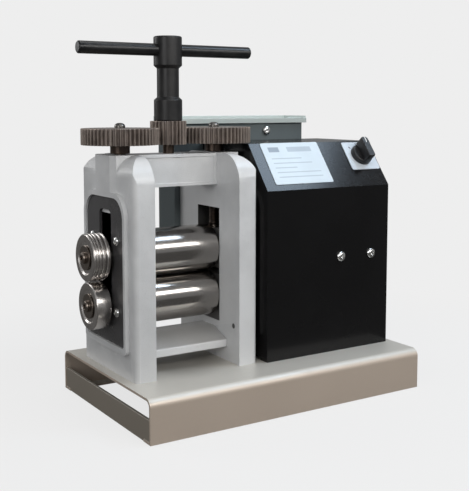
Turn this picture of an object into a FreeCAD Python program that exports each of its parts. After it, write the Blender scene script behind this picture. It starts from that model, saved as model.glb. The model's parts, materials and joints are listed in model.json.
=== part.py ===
import FreeCAD, Part
import math
import os

import Sketcher
from FreeCAD import Placement, Rotation, Vector

# A jewellers rolling mill with a motor drive. Millimetres, +Z up, +X towards the motor housing,
# -Y towards the operator. The origin is the centre of the base's footprint on the bench.

X_AXIS = Vector(1, 0, 0)
Y_AXIS = Vector(0, 1, 0)
Z_AXIS = Vector(0, 0, 1)

doc = FreeCAD.newDocument("rolling_mill")


# ---------------------------------------------------------------- sizes

SIZES = [
    # base: a bent sheet channel with return lips, open at both ends
    ("base_length", 400.0),
    ("base_depth", 250.0),
    ("base_height", 52.0),
    ("base_wall", 3.0),
    ("base_bend_radius", 10.0),
    ("base_lip", 18.0),
    ("bench_hole_radius", 4.0),
    ("bench_hole_end_inset", 28.0),
    ("bench_hole_side_inset", 10.5),
    ("end_bar_height", 28.0),
    ("end_bar_thickness", 4.0),
    ("end_bar_inset", 0.5),
    ("end_bar_gap", 0.3),
    # where the mill stands on the base
    ("mill_left_offset", 102.8),
    ("roll_axis_back_offset", 10.0),
    # side frames
    ("frame_opening", 116.0),
    ("frame_thickness", 27.2),
    ("frame_depth", 150.0),
    ("frame_corner_radius", 36.0),
    ("frame_edge_radius", 26.0),
    ("frame_upright_radius", 7.0),
    ("boss_height", 5.0),
    ("boss_width", 118.0),
    ("boss_corner_radius", 30.0),
    ("column_half_width", 20.5),
    ("column_flare", 8.0),
    ("column_root", 2.0),
    ("guard_hole_radius", 3.3),
    ("guard_hole_offset", 61.0),
    ("guard_hole_depth", 12.0),
    ("recess_depth", 6.5),
    ("recess_rim", 5.5),
    ("recess_corner_radius", 25.0),
    ("window_width", 54.0),
    ("window_headroom", 27.5),
    # bridges between the side frames
    ("top_bridge_depth", 44.0),
    ("plaque_depth", 1.5),
    ("plaque_margin", 4.0),
    ("lower_bridge_depth", 92.0),
    ("lower_bridge_crown", 28.0),
    ("bridge_screw_radius", 2.5),
    ("bridge_screw_head_radius", 5.0),
    ("bridge_screw_length", 50.0),
    ("top_screw_offset", 15.0),
    ("lower_screw_offset", 20.0),
    ("foot_bolt_radius", 5.0),
    ("foot_bolt_head_radius", 9.0),
    ("foot_bolt_head_height", 6.4),
    ("foot_bolt_depth", 20.0),
    ("foot_bolt_offset", 52.0),
    # bearing covers
    ("cover_thickness", 4.0),
    ("cover_clearance", 0.3),
    ("cover_slot_radius", 17.0),
    ("cover_slot_rise", 5.0),
    ("cover_slot_corner", 8.0),
    ("cover_bolt_radius", 3.0),
    ("cover_bolt_head_radius", 5.5),
    ("cover_bolt_head_height", 4.0),
    ("cover_bolt_depth", 10.0),
    ("cover_bolt_side_offset", 34.0),
    ("cover_bolt_rise", 43.0),
    # rolls
    ("roll_radius", 29.5),
    ("roll_gap", 0.4),
    ("roll_end_clearance", 1.0),
    ("roll_chamfer", 1.0),
    ("journal_radius", 17.0),
    ("side_shaft_radius", 12.0),
    ("drive_shaft_radius", 12.5),
    ("upper_side_roll_reach", 27.2),
    ("lower_side_roll_reach", 24.2),
    ("side_roll_radius", 29.0),
    ("side_roll_gap", 5.0),
    ("wire_groove_radius", 2.2),
    ("side_screw_radius", 4.0),
    ("side_screw_head_radius", 7.0),
    ("side_screw_head_height", 4.0),
    ("side_screw_depth", 18.0),
    ("side_shaft_setback", 1.0),
    # bearings
    ("bush_wall", 5.0),
    ("running_clearance", 0.05),
    ("block_side_clearance", 0.1),
    ("block_thickness", 24.4),
    ("lower_block_roof", 26.0),
    ("block_gap", 8.0),
    ("upper_block_roof", 25.1),
    ("spring_radius", 3.6),
    ("spring_wire", 1.2),
    ("spring_pocket_radius", 4.6),
    ("spring_pocket_depth", 8.0),
    ("spring_offset", 20.6),
    ("thrust_pad_radius", 7.0),
    ("thrust_pad_height", 3.5),
    # screw-down gear
    ("gear_module", 1.75),
    ("pinion_teeth", 24.0),
    ("screw_gear_teeth", 52.0),
    ("gear_backlash", 0.45),
    ("screw_radius", 7.0),
    ("screw_seat_radius", 6.0),
    ("collar_radius", 12.0),
    ("collar_lift", 1.0),
    ("screw_gear_width", 20.0),
    ("cap_nut_radius", 6.6),
    ("cap_nut_height", 6.5),
    ("pinion_width", 29.3),
    ("stud_radius", 6.0),
    ("stud_collar_radius", 7.0),
    ("stud_thread_depth", 20.0),
    ("spigot_radius", 10.0),
    ("spigot_height", 14.0),
    # tee handle
    ("hub_radius", 17.7),
    ("neck_radius", 13.8),
    ("hub_lower_length", 29.5),
    ("neck_length", 39.0),
    ("hub_below_bar", 19.0),
    ("hub_above_bar", 17.0),
    ("hub_taper", 3.5),
    ("bar_radius", 7.6),
    ("bar_length", 240.0),
    ("bar_chamfer", 1.2),
    ("grub_radius", 3.0),
    # motor housing: a sheet cover with a slanted switch panel
    ("housing_left", 8.0),
    ("housing_width", 198.0),
    ("housing_front", 72.5),
    ("housing_depth", 159.0),
    ("housing_wall", 2.0),
    ("panel_run", 44.5),
    ("housing_flange", 14.0),
    ("shaft_slot_width", 72.0),
    ("dome_screw_radius", 3.0),
    ("dome_head_radius", 6.8),
    ("dome_head_height", 4.0),
    ("front_screw_inset", 30.0),
    ("front_screw_pitch", 51.0),
    ("clamp_thickness", 2.0),
    ("clamp_tab", 8.0),
    ("clamp_half_height", 12.0),
    ("capacitor_radius", 15.0),
    ("capacitor_length", 60.0),
    ("base_screw_radius", 2.5),
    ("base_screw_inset", 26.0),
    # name plate and switch on the slanted panel
    ("name_plate_width", 91.7),
    ("name_plate_crest_margin", 0.2),
    ("name_plate_thickness", 0.8),
    ("name_plate_inset", 16.3),
    ("name_plate_rise", 8.5),
    ("switch_plate_width", 48.0),
    ("switch_plate_height", 44.6),
    ("switch_plate_thickness", 1.6),
    ("switch_inset", 26.0),
    ("switch_crest_distance", 25.2),
    ("switch_body_size", 42.0),
    ("switch_body_depth", 38.0),
    ("switch_neck_radius", 8.0),
    ("switch_shaft_radius", 3.0),
    ("switch_shaft_depth", 12.0),
    ("knob_radius", 15.5),
    ("knob_base_height", 7.0),
    ("knob_height", 21.0),
    ("knob_grip_length", 35.0),
    ("knob_grip_width", 12.0),
    ("knob_clearance", 0.3),
    # electrics box behind the mill, with a tray as its lid
    ("box_left", 53.0),
    ("box_width", 214.0),
    ("box_depth", 46.0),
    ("box_height", 150.0),
    ("box_wall", 1.5),
    ("tray_overhang", 5.0),
    ("tray_rim", 7.0),
    ("tray_back_rim", 10.0),
    ("box_screw_inset", 63.5),
    ("mount_screw_inset", 52.0),
    ("terminal_length", 60.0),
    ("terminal_depth", 14.0),
    ("terminal_height", 18.0),
    ("terminal_rise", 50.0),
    ("gland_radius", 10.0),
    ("gland_bore", 4.5),
    ("gland_length", 16.0),
    # roll gears and gearbox
    ("roll_gear_module", 4.0),
    ("roll_gear_teeth", 15.0),
    ("roll_gear_start", 16.0),
    ("roll_gear_width", 20.0),
    ("roll_gear_backlash", 1.3),
    ("gearbox_start", 46.0),
    ("gearbox_length", 54.0),
    ("gearbox_half_width", 60.0),
    ("gearbox_wall", 5.0),
    ("gearbox_foot", 12.0),
    ("gearbox_bolt_radius", 4.0),
    ("gearbox_bolt_head_height", 5.3),
    ("gearbox_bolt_side_inset", 7.0),
    ("gearbox_bolt_end_inset", 10.0),
    ("output_module", 1.5),
    ("output_teeth", 64.0),
    ("output_pinion_teeth", 16.0),
    ("output_gear_width", 14.0),
    ("input_module", 1.25),
    ("input_teeth", 80.0),
    ("motor_pinion_teeth", 16.0),
    ("input_gear_width", 12.0),
    ("gear_train_gap", 2.0),
    ("train_backlash", 0.4),
    ("layshaft_radius", 6.0),
    # motor
    ("motor_radius", 45.0),
    ("motor_wall", 5.0),
    ("motor_length", 72.0),
    ("end_shield_thickness", 8.0),
    ("rotor_radius", 26.0),
    ("rotor_length", 44.0),
    ("motor_shaft_radius", 6.0),
]

# heights above the top of the base, which carries the whole mill
LEVELS = [
    # side frames
    ("frame_top", 264.5),
    ("boss_bottom", 30.0),
    ("boss_top", 221.0),
    ("recess_bottom", 37.0),
    ("recess_top", 214.5),
    ("window_bottom", 48.0),
    ("guard_hole_height", 48.0),
    # bridges
    ("top_bridge_bottom", 224.0),
    ("top_bridge_top", 264.0),
    ("lower_bridge_bottom", 18.0),
    ("lower_bridge_edge", 28.0),
    ("lower_bridge_top", 40.0),
    ("top_screw_height", 237.0),
    ("lower_screw_height", 27.0),
    # roll and gear
    ("lower_axis_height", 82.0),
    ("screw_gear_bottom", 276.2),
    ("pinion_bottom", 275.2),
    # motor housing
    ("fold_height", 217.5),
    ("housing_top", 275.0),
    ("shaft_slot_top", 184.0),
    ("front_screw_height", 126.0),
    # electrics box
    ("box_top", 299.0),
    ("box_screw_height", 288.0),
    ("mount_screw_height", 228.0),
    ("gland_height", 170.0),
    # gearbox
    ("gearbox_bottom", 22.0),
    ("gearbox_top", 210.0),
]

sheet = doc.addObject("Spreadsheet::Sheet", "Sizes")


def literal(number):
    """The plain text of a number in an expression."""
    return f"{number:.6f}".rstrip("0").rstrip(".")


class Dim:
    """A size: its value now, and the expression on the sheet that gives it."""

    def __init__(self, value, text):
        self.value = value
        self.text = text

    def __add__(self, other):
        other = dim(other)
        return Dim(self.value + other.value, f"({self.text} + {other.text})")

    def __sub__(self, other):
        other = dim(other)
        return Dim(self.value - other.value, f"({self.text} - {other.text})")

    def __mul__(self, other):
        other = dim(other)
        return Dim(self.value * other.value, f"({self.text} * {other.text})")

    def __truediv__(self, other):
        other = dim(other)
        return Dim(self.value / other.value, f"({self.text} / {other.text})")

    def __neg__(self):
        return Dim(-self.value, f"(0 - {self.text})")

    def __radd__(self, other):
        return dim(other) + self

    def __rsub__(self, other):
        return dim(other) - self

    def __rmul__(self, other):
        return dim(other) * self


def dim(number):
    """Any number as a Dim."""
    if isinstance(number, Dim):
        return number
    return Dim(float(number), literal(number))


class Sizes:
    """The sheet's sizes by name."""


class Levels:
    """The heights by name, as Z above the bench."""


size = Sizes()
for row, (name, value) in enumerate(SIZES + LEVELS, start=1):
    sheet.set(f"A{row}", name)
    sheet.set(f"B{row}", str(value))
    sheet.setAlias(f"B{row}", name)
    setattr(size, name, Dim(value, f"Sizes.{name}"))
level = Levels()
for name, _ in LEVELS:
    setattr(level, name, size.base_height + getattr(size, name))
doc.recompute()


def hypotenuse(run, rise):
    """The length of a slope."""
    text = f"sqrt({run.text} * {run.text} + {rise.text} * {rise.text})"
    return Dim(math.hypot(run.value, rise.value), text)


# ---------------------------------------------------------------- modelling helpers

parts = {}
dome_screws = []


def bind(item, values):
    """Tie properties of an object to the sheet."""
    for prop, value in values.items():
        item.setExpression(prop, dim(value).text)


def place(item, x, y, z, rotation=None):
    """Put an object at a point that follows the sheet."""
    x, y, z = dim(x), dim(y), dim(z)
    item.Placement = Placement(Vector(x.value, y.value, z.value), rotation or Rotation())
    bind(item, {"Placement.Base.x": x, "Placement.Base.y": y, "Placement.Base.z": z})
    return item


TO_X = Rotation(Y_AXIS, 90)
TO_MINUS_X = Rotation(Y_AXIS, -90)
TO_Y = Rotation(X_AXIS, -90)
TO_MINUS_Y = Rotation(X_AXIS, 90)


def block(name, x, y, z):
    """A box between two values on each axis."""
    item = doc.addObject("Part::Box", name)
    bind(item, {"Length": x[1] - x[0], "Width": y[1] - y[0], "Height": z[1] - z[0]})
    return place(item, x[0], y[0], z[0])


def rod(name, axis, centre, span, radius):
    """A cylinder along an axis, from span[0] to span[1]; centre gives the two other coordinates."""
    item = doc.addObject("Part::Cylinder", name)
    bind(item, {"Radius": radius, "Height": span[1] - span[0]})
    if axis == "X":
        return place(item, span[0], centre[0], centre[1], TO_X)
    if axis == "Y":
        return place(item, centre[0], span[0], centre[1], TO_Y)
    return place(item, centre[0], centre[1], span[0])


def hexagon(name, x, y, z, radius, height, rotation=None):
    """A hexagonal prism that rises along its own Z."""
    item = doc.addObject("Part::Prism", name)
    item.Polygon = 6
    bind(item, {"Circumradius": radius, "Height": height})
    return place(item, x, y, z, rotation)


def cut(name, base, *tools):
    """Take the tools away from the base."""
    item = doc.addObject("Part::Cut", name)
    item.Base = base
    item.Tool = tools[0] if len(tools) == 1 else fuse(name + "_tools", *tools)
    return item


def common(name, base, tool):
    """What two shapes share."""
    item = doc.addObject("Part::Common", name)
    item.Base = base
    item.Tool = tool
    return item


def fuse(name, *shapes):
    """Join shapes to one solid."""
    item = doc.addObject("Part::MultiFuse", name)
    item.Shapes = list(shapes)
    item.Refine = True
    return item


def group(name, *shapes):
    """Keep like pieces as separate solids of one object."""
    item = doc.addObject("Part::Compound", name)
    item.Links = list(shapes)
    return item


def keep(name, item):
    """Name an object as a sub-part."""
    item.Label = name
    parts[name] = item
    return item


def origin_plane(body, role):
    """A body's own origin plane or axis."""
    for feature in body.Origin.OriginFeatures:
        if feature.Role == role:
            return feature
    raise RuntimeError("no origin feature " + role)


def outline_edges(points):
    """Split an outline with rounded corners into lines and arcs.

    A point is (u, v) or (u, v, radius), and a rounded corner lies between level and upright edges."""
    corners = []
    count = len(points)
    for index, point in enumerate(points):
        u, v = dim(point[0]), dim(point[1])
        if len(point) == 2:
            corners.append([(u, v)])
            continue
        radius = dim(point[2])
        ends = []
        for other in (points[index - 1], points[(index + 1) % count]):
            step_u = dim(other[0]).value - u.value
            step_v = dim(other[1]).value - v.value
            if abs(step_u) > abs(step_v):
                ends.append((u + radius if step_u > 0 else u - radius, v))
            else:
                ends.append((u, v + radius if step_v > 0 else v - radius))
        corners.append([ends[0], ends[1], radius, Vector(u.value, v.value, 0)])
    return corners


def draw_outline(sketch, points):
    """Draw a closed outline whose every corner is tied to the sheet."""
    corners = outline_edges(points)
    shapes = []
    geometry = []
    for index, corner in enumerate(corners):
        start = corner[0]
        if len(corner) > 1:
            first = Vector(corner[0][0].value, corner[0][1].value, 0)
            last = Vector(corner[1][0].value, corner[1][1].value, 0)
            sharp = corner[3]
            centre = first + last - sharp
            forward = (first - centre).cross(last - centre).z > 0
            geometry.append(quarter_arc(centre, first if forward else last, corner[2].value))
            shapes.append(("arc", corner[0], corner[2], forward))
            start = corner[1]
        end = corners[(index + 1) % len(corners)][0]
        first = Vector(start[0].value, start[1].value, 0)
        last = Vector(end[0].value, end[1].value, 0)
        geometry.append(Part.LineSegment(first, last))
        shapes.append(("line", start, None, True))
    sketch.addGeometry(geometry, False)
    constraints = []
    bindings = []
    for index, (kind, start, radius, forward) in enumerate(shapes):
        following = (index + 1) % len(shapes)
        first, last = (1, 2) if forward else (2, 1)
        next_first = 1 if shapes[following][3] else 2
        constraints.append(Sketcher.Constraint("Coincident", index, last, following, next_first))
        for kind_of, value in (("DistanceX", start[0]), ("DistanceY", start[1])):
            if value.value == 0:
                axis = -2 if kind_of == "DistanceX" else -1
                constraints.append(Sketcher.Constraint("PointOnObject", index, first, axis))
                continue
            bindings.append((len(constraints), value))
            constraints.append(Sketcher.Constraint(kind_of, -1, 1, index, first, value.value))
        if kind == "arc":
            bindings.append((len(constraints), radius))
            constraints.append(Sketcher.Constraint("Radius", index, radius.value))
    sketch.addConstraint(constraints)
    for number, value in bindings:
        if "Sizes" in value.text:
            sketch.setExpression(f"Constraints[{number}]", value.text)


def quarter_arc(centre, start, radius):
    """A quarter circle that turns counter-clockwise from its start."""
    angle = math.atan2(start.y - centre.y, start.x - centre.x)
    return Part.ArcOfCircle(Part.Circle(centre, Z_AXIS, radius), angle, angle + math.pi / 2)


def pad(name, plane, points, span):
    """A body whose outline lies in a plane and reaches from span[0] to span[1] across it."""
    body = doc.addObject("PartDesign::Body", name)
    sketch = body.newObject("Sketcher::SketchObject", name + "_outline")
    sketch.AttachmentSupport = (origin_plane(body, plane + "_Plane"), [""])
    sketch.MapMode = "FlatFace"
    offset = -span[1] if plane == "XZ" else dim(span[0])
    sketch.AttachmentOffset = Placement(Vector(0, 0, offset.value), Rotation())
    sketch.setExpression("AttachmentOffset.Base.z", offset.text)
    draw_outline(sketch, points)
    feature = body.newObject("PartDesign::Pad", name + "_pad")
    feature.Profile = sketch
    bind(feature, {"Length": span[1] - span[0]})
    body.Tip = feature
    return body


def turned(name, points, x=0, y=0, z=0, rotation=None):
    """A turned body: points are (radius, height) about its own Z axis, placed at x, y, z."""
    body = doc.addObject("PartDesign::Body", name)
    sketch = body.newObject("Sketcher::SketchObject", name + "_profile")
    sketch.AttachmentSupport = (origin_plane(body, "XZ_Plane"), [""])
    sketch.MapMode = "FlatFace"
    draw_outline(sketch, points)
    feature = body.newObject("PartDesign::Revolution", name + "_turning")
    feature.Profile = sketch
    feature.ReferenceAxis = (sketch, ["V_Axis"])
    feature.Angle = 360
    body.Tip = feature
    return place(body, x, y, z, rotation)


def ring(bore, radius, bottom, top):
    """The profile of a ring."""
    return [(bore, bottom), (radius, bottom), (radius, top), (bore, top)]


def dome(radius, height, base=0):
    """The profile of a domed head: a short rim with a bevelled crown."""
    shoulder = base + height * 0.45
    crown = base + height * 0.85
    top = base + height
    return [
        (0, base), (radius, base), (radius, shoulder), (radius * 0.82, crown), (radius * 0.5, top), (0, top),
    ]


def gear_shape(teeth, module, width, bore, backlash):
    """A spur gear about Z with a tooth on +X, as a solid from Part's own functions."""
    pressure = math.radians(20)
    pitch = teeth * module / 2
    base = pitch * math.cos(pressure)
    tip = pitch + module
    root = pitch - 1.25 * module
    half_pitch_angle = math.pi / (2 * teeth) - backlash / (2 * pitch)
    involute_at_pitch = math.tan(pressure) - pressure
    flank = []
    steps = 3
    start = max(base, root)
    for step in range(steps + 1):
        radius = start + (tip - start) * step / steps
        unwind = math.acos(min(1.0, base / radius))
        angle = half_pitch_angle + involute_at_pitch - (math.tan(unwind) - unwind)
        flank.append((radius, angle))
    if root < base:
        flank.insert(0, (root, flank[0][1]))
    points = []
    for tooth in range(int(teeth)):
        middle = 2 * math.pi * tooth / teeth
        for radius, angle in flank:
            points.append(Vector(radius * math.cos(middle - angle), radius * math.sin(middle - angle), 0))
        for radius, angle in reversed(flank):
            points.append(Vector(radius * math.cos(middle + angle), radius * math.sin(middle + angle), 0))
    points.append(points[0])
    face = Part.Face(Part.makePolygon(points))
    solid = face.extrude(Vector(0, 0, width))
    return solid.cut(Part.makeCylinder(bore, width))


def gear(name, teeth, module, width, bore, backlash, rotation, x, y, z):
    """A spur gear as an object of its own."""
    item = doc.addObject("Part::Feature", name)
    item.Shape = gear_shape(teeth.value, module.value, width.value, bore.value, backlash.value)
    return place(item, x, y, z, rotation)


# ---------------------------------------------------------------- places that several pieces share

mill_x = -size.mill_left_offset
axis_y = size.roll_axis_back_offset
half_opening = size.frame_opening / 2
frame_outer = half_opening + size.frame_thickness
boss_outer = frame_outer + size.boss_height
recess_floor = boss_outer - size.recess_depth
cover_outer = recess_floor + size.cover_thickness
frame_half_depth = size.frame_depth / 2
lower_axis = level.lower_axis_height
upper_axis = lower_axis + 2 * size.roll_radius + size.roll_gap
lower_block_top = lower_axis + size.lower_block_roof
upper_block_bottom = lower_block_top + size.block_gap
upper_block_top = upper_axis + size.upper_block_roof
window_top = upper_block_top + size.window_headroom
screw_spacing = size.gear_module * (size.pinion_teeth + size.screw_gear_teeth) / 2
bush_radius = size.journal_radius + size.running_clearance + size.bush_wall
cover_middle = (lower_axis + upper_axis) / 2 + 9
housing_left = -size.housing_left
housing_right = housing_left + size.housing_width
housing_front = -size.housing_front
housing_back = housing_front + size.housing_depth
panel_rise = level.housing_top - level.fold_height
panel_length = hypotenuse(size.panel_run, panel_rise)
panel_cos = size.panel_run / panel_length
panel_sin = panel_rise / panel_length
base_top = size.base_height
SIDES = (("left", -1), ("right", 1))


def side_span(side, near, far):
    """The X span that lies from near to far from the mill's middle, on one side of it."""
    if side > 0:
        return (mill_x + near, mill_x + far)
    return (mill_x - far, mill_x - near)


def side_x(side, distance):
    """X at a distance from the mill's middle."""
    return mill_x + distance if side > 0 else mill_x - distance


def about_axis(half_width):
    """A Y span centred on the roll axis."""
    return (axis_y - half_width, axis_y + half_width)


# ---------------------------------------------------------------- base

def make_base():
    half_depth = size.base_depth / 2
    half_length = size.base_length / 2
    wall = size.base_wall
    inner = half_depth - wall
    lip_edge = half_depth - size.base_lip
    bend = size.base_bend_radius
    profile = [
        (-half_depth, 0), (-half_depth, size.base_height, bend),
        (half_depth, size.base_height, bend), (half_depth, 0),
        (lip_edge, 0), (lip_edge, wall), (inner, wall),
        (inner, size.base_height - wall, bend - wall),
        (-inner, size.base_height - wall, bend - wall),
        (-inner, wall), (-lip_edge, wall), (-lip_edge, 0),
    ]
    sheet_metal = pad("base_sheet", "YZ", profile, (-half_length, half_length))
    holes = []
    below = (dim(-1), wall + 1)
    through_top = (size.base_height - wall - 1, size.base_height + 1)
    for end in (-1, 1):
        for edge in (-1, 1):
            x = end * (half_length - size.bench_hole_end_inset)
            y = edge * (half_depth - size.bench_hole_side_inset)
            holes.append(rod("bench_hole", "Z", (x, y), below, size.bench_hole_radius))
    for x, y in foot_bolt_places():
        holes.append(rod("foot_bolt_hole", "Z", (x, y), through_top, size.foot_bolt_radius))
    for x, y in base_screw_places():
        holes.append(rod("base_screw_hole", "Z", (x, y), through_top, size.base_screw_radius))
    for x, y in gearbox_bolt_places():
        holes.append(rod("gearbox_bolt_hole", "Z", (x, y), through_top, size.gearbox_bolt_radius))
    keep("base_channel", cut("base_channel", sheet_metal, *holes))
    bars = []
    for end in (-1, 1):
        near = half_length - size.end_bar_inset
        far = near - size.end_bar_thickness
        x = (far, near) if end > 0 else (-near, -far)
        lip_gap = lip_edge - size.end_bar_gap
        upper = block("end_bar_upper", x, (-inner, inner), (wall, size.end_bar_height))
        lower = block("end_bar_lower", x, (-lip_gap, lip_gap), (dim(0), wall))
        bars.append(fuse("end_bar", upper, lower))
    keep("base_end_bars", group("base_end_bars", *bars))


def foot_bolt_places():
    """X and Y of the bolts that hold the side frames, from under the base."""
    places = []
    for _, side in SIDES:
        for edge in (-1, 1):
            x = side_x(side, half_opening + size.frame_thickness / 2)
            places.append((x, axis_y + edge * size.foot_bolt_offset))
    return places


def base_screw_places():
    places = []
    inset = size.base_screw_inset
    flange = size.housing_wall + size.housing_flange / 2
    for x in (housing_left + inset, housing_right - inset):
        for y in (housing_front + flange, housing_back - flange):
            places.append((x, y))
    return places


def gearbox_bolt_places():
    places = []
    x_middle = size.gearbox_start + size.gearbox_length / 2
    for edge in (-1, 1):
        y = axis_y + edge * (size.gearbox_half_width - size.gearbox_wall - size.gearbox_bolt_side_inset)
        for step in (-1, 1):
            places.append((x_middle + step * (size.gearbox_length / 2 - size.gearbox_bolt_end_inset), y))
    return places


# ---------------------------------------------------------------- side frames and bridges

def make_side_frame(label, side):
    top = level.frame_top
    corner = size.frame_corner_radius
    half = frame_half_depth
    plate_x = side_span(side, half_opening, frame_outer)
    outline = [
        (axis_y - half, base_top), (axis_y + half, base_top),
        (axis_y + half, top, corner), (axis_y - half, top, corner),
    ]
    plate = pad(label + "_plate", "YZ", outline, plate_x)
    edge = size.frame_upright_radius
    rounds = (edge, 0) if side < 0 else (0, edge)
    plan = pad(label + "_plan", "XY", rounded_rectangle(plate_x, about_axis(half), rounds), (base_top, top))
    plate = common(label + "_rounded_plate", plate, plan)
    plate = cut(label + "_shaped_plate", plate, edge_rounding(label, side))
    boss_x = side_span(side, frame_outer - 1, boss_outer)
    wide = size.boss_width / 2
    round_top = size.boss_corner_radius
    surround = [
        (axis_y - wide, level.boss_bottom, 6), (axis_y + wide, level.boss_bottom, 6),
        (axis_y + wide, level.boss_top, round_top), (axis_y - wide, level.boss_top, round_top),
    ]
    boss = pad(label + "_boss", "YZ", surround, boss_x)
    flat = size.column_half_width
    foot = flat + size.column_flare
    root_x, plate_face, column_face = (side_x(side, place) for place in (
        half_opening + size.column_root, frame_outer, boss_outer))
    column_plan = [
        (root_x, axis_y - foot), (plate_face, axis_y - foot), (column_face, axis_y - flat),
        (column_face, axis_y + flat), (plate_face, axis_y + foot), (root_x, axis_y + foot),
    ]
    column = pad(label + "_column", "XY", column_plan, (level.boss_top - 10, top))
    body = fuse(label + "_casting", plate, boss, column)
    beyond = side_span(side, half_opening - 1, boss_outer + 1)
    recess_half = wide - size.recess_rim
    recess = [
        (axis_y - recess_half, level.recess_bottom, 5), (axis_y + recess_half, level.recess_bottom, 5),
        (axis_y + recess_half, level.recess_top, size.recess_corner_radius),
        (axis_y - recess_half, level.recess_top, size.recess_corner_radius),
    ]
    recess_x = side_span(side, recess_floor, boss_outer + 1)
    window_half = size.window_width / 2
    window_z = (level.window_bottom, window_top)
    screw_place = (side_x(side, screw_spacing), axis_y)
    screw_z = (window_top - 1, top + 1)
    tools = [
        pad(label + "_recess", "YZ", recess, recess_x),
        block(label + "_window", beyond, about_axis(window_half), window_z),
        rod(label + "_screw_hole", "Z", screw_place, screw_z, size.screw_radius + size.running_clearance),
        rod(label + "_guard_hole", "X", (axis_y - size.guard_hole_offset, level.guard_hole_height),
            side_span(side, half_opening - 1, half_opening + size.guard_hole_depth), size.guard_hole_radius),
    ]
    for y, z in cover_bolt_places():
        depth = side_span(side, recess_floor - size.cover_bolt_depth, recess_floor + 1)
        tools.append(rod(label + "_cover_hole", "X", (y, z), depth, size.cover_bolt_radius))
    for x, y in foot_bolt_places():
        if (side > 0) == (x.value > mill_x.value):
            deep = (base_top - 1, base_top + size.foot_bolt_depth)
            tools.append(rod(label + "_foot_hole", "Z", (x, y), deep, size.foot_bolt_radius))
    for y, z, face in bridge_screw_places():
        tools.append(bridge_screw(label + "_bridge_hole", side, y, z, face, 0.0))
    keep(label, cut(label, body, *tools))


def edge_rounding(label, side):
    """What is taken off a plate's outer top edge to round it."""
    radius = size.frame_edge_radius
    top = level.frame_top
    start = frame_outer - radius
    half = frame_half_depth + 1
    corner_x = side_span(side, start, boss_outer + 1)
    corner = block(label + "_edge", corner_x, about_axis(half), (top - radius, top + 1))
    centre = (side_x(side, start), top - radius)
    round_bar = rod(label + "_edge_round", "Y", centre, about_axis(half + 1), radius)
    return cut(label + "_edge_tool", corner, round_bar)


def rounded_rectangle(x, y, rounds):
    """An outline between X and Y spans, with a radius for the corners at the low and the high X."""
    corners = []
    for place_x, place_y, radius in (
        (x[0], y[0], rounds[0]), (x[1], y[0], rounds[1]), (x[1], y[1], rounds[1]), (x[0], y[1], rounds[0]),
    ):
        corners.append((place_x, place_y, radius) if dim(radius).value else (place_x, place_y))
    return corners


def bridge_screw_places():
    """Y, Z and the outer face of the screws that hold the bridges, the same on both sides."""
    places = []
    for edge in (-1, 1):
        places.append((axis_y + edge * size.top_screw_offset, level.top_screw_height, boss_outer))
        places.append((axis_y + edge * size.lower_screw_offset, level.lower_screw_height, frame_outer))
    return places


def bridge_screw(name, side, y, z, face, shorten):
    """A countersunk screw along X with its flat head flush with the face."""
    head = size.bridge_screw_head_radius
    shank = size.bridge_screw_radius
    flat = 1.0
    slope = head - shank
    profile = [
        (0, 0), (head, 0), (head, flat), (shank, flat + slope),
        (shank, size.bridge_screw_length - shorten), (0, size.bridge_screw_length - shorten),
    ]
    rotation = TO_MINUS_X if side > 0 else TO_X
    return turned(name, profile, side_x(side, face), y, z, rotation)


def make_bridges():
    span = (mill_x - half_opening, mill_x + half_opening)
    half = size.top_bridge_depth / 2
    z = (level.top_bridge_bottom, level.top_bridge_top)
    bar = block("top_bridge_bar", span, about_axis(half), z)
    margin = size.plaque_margin
    front = axis_y - half
    plaque_z = (z[0] + margin, z[1] - margin)
    plaque_x = (span[0] + margin, span[1] - margin)
    plaque = block("plaque", plaque_x, (front - 1, front + size.plaque_depth), plaque_z)
    stud_z = (z[1] - size.stud_thread_depth, z[1] + 1)
    tools = [plaque, rod("stud_hole", "Z", (mill_x, axis_y), stud_z, size.stud_radius)]
    lower = size.lower_bridge_depth / 2
    crown = size.lower_bridge_crown / 2
    profile = [
        (axis_y - lower, level.lower_bridge_bottom), (axis_y + lower, level.lower_bridge_bottom),
        (axis_y + lower, level.lower_bridge_edge), (axis_y + crown, level.lower_bridge_top),
        (axis_y - crown, level.lower_bridge_top), (axis_y - lower, level.lower_bridge_edge),
    ]
    lower_bar = pad("lower_bridge_bar", "YZ", profile, span)
    lower_tools = []
    screws = []
    for label, side in SIDES:
        for y, place_z, face in bridge_screw_places():
            target = tools if place_z is level.top_screw_height else lower_tools
            target.append(bridge_screw("bridge_hole", side, y, place_z, face, 0.0))
            screws.append(bridge_screw(label + "_bridge_screw", side, y, place_z, face, 0.5))
    keep("top_bridge", cut("top_bridge", bar, *tools))
    keep("lower_bridge", cut("lower_bridge", lower_bar, *lower_tools))
    sockets = []
    for screw, (side, y, place_z, face) in zip(screws, all_bridge_screws()):
        socket_x = side_span(side, face - 2.5, face + 1)
        socket = rod("bridge_socket", "X", (y, place_z), socket_x, size.bridge_screw_radius * 0.6)
        sockets.append(cut("socketed_bridge_screw", screw, socket))
    keep("bridge_screws", group("bridge_screws", *sockets))


def all_bridge_screws():
    return [(side, y, z, face) for _, side in SIDES for y, z, face in bridge_screw_places()]


def make_foot_bolts():
    bolts = []
    under = base_top - size.base_wall
    for x, y in foot_bolt_places():
        head_z = under - size.foot_bolt_head_height
        head = hexagon("foot_bolt_head", x, y, head_z, size.foot_bolt_head_radius, size.foot_bolt_head_height)
        shank_z = (head_z, base_top + size.foot_bolt_depth - 1)
        shank = rod("foot_bolt_shank", "Z", (x, y), shank_z, size.foot_bolt_radius)
        bolts.append(fuse("foot_bolt", head, shank))
    keep("frame_foot_bolts", group("frame_foot_bolts", *bolts))


# ---------------------------------------------------------------- bearing covers

def cover_bolt_places():
    places = []
    for edge in (-1, 1):
        for rise in (-1, 1):
            y = axis_y + edge * size.cover_bolt_side_offset
            places.append((y, cover_middle + rise * size.cover_bolt_rise))
    return places


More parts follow.
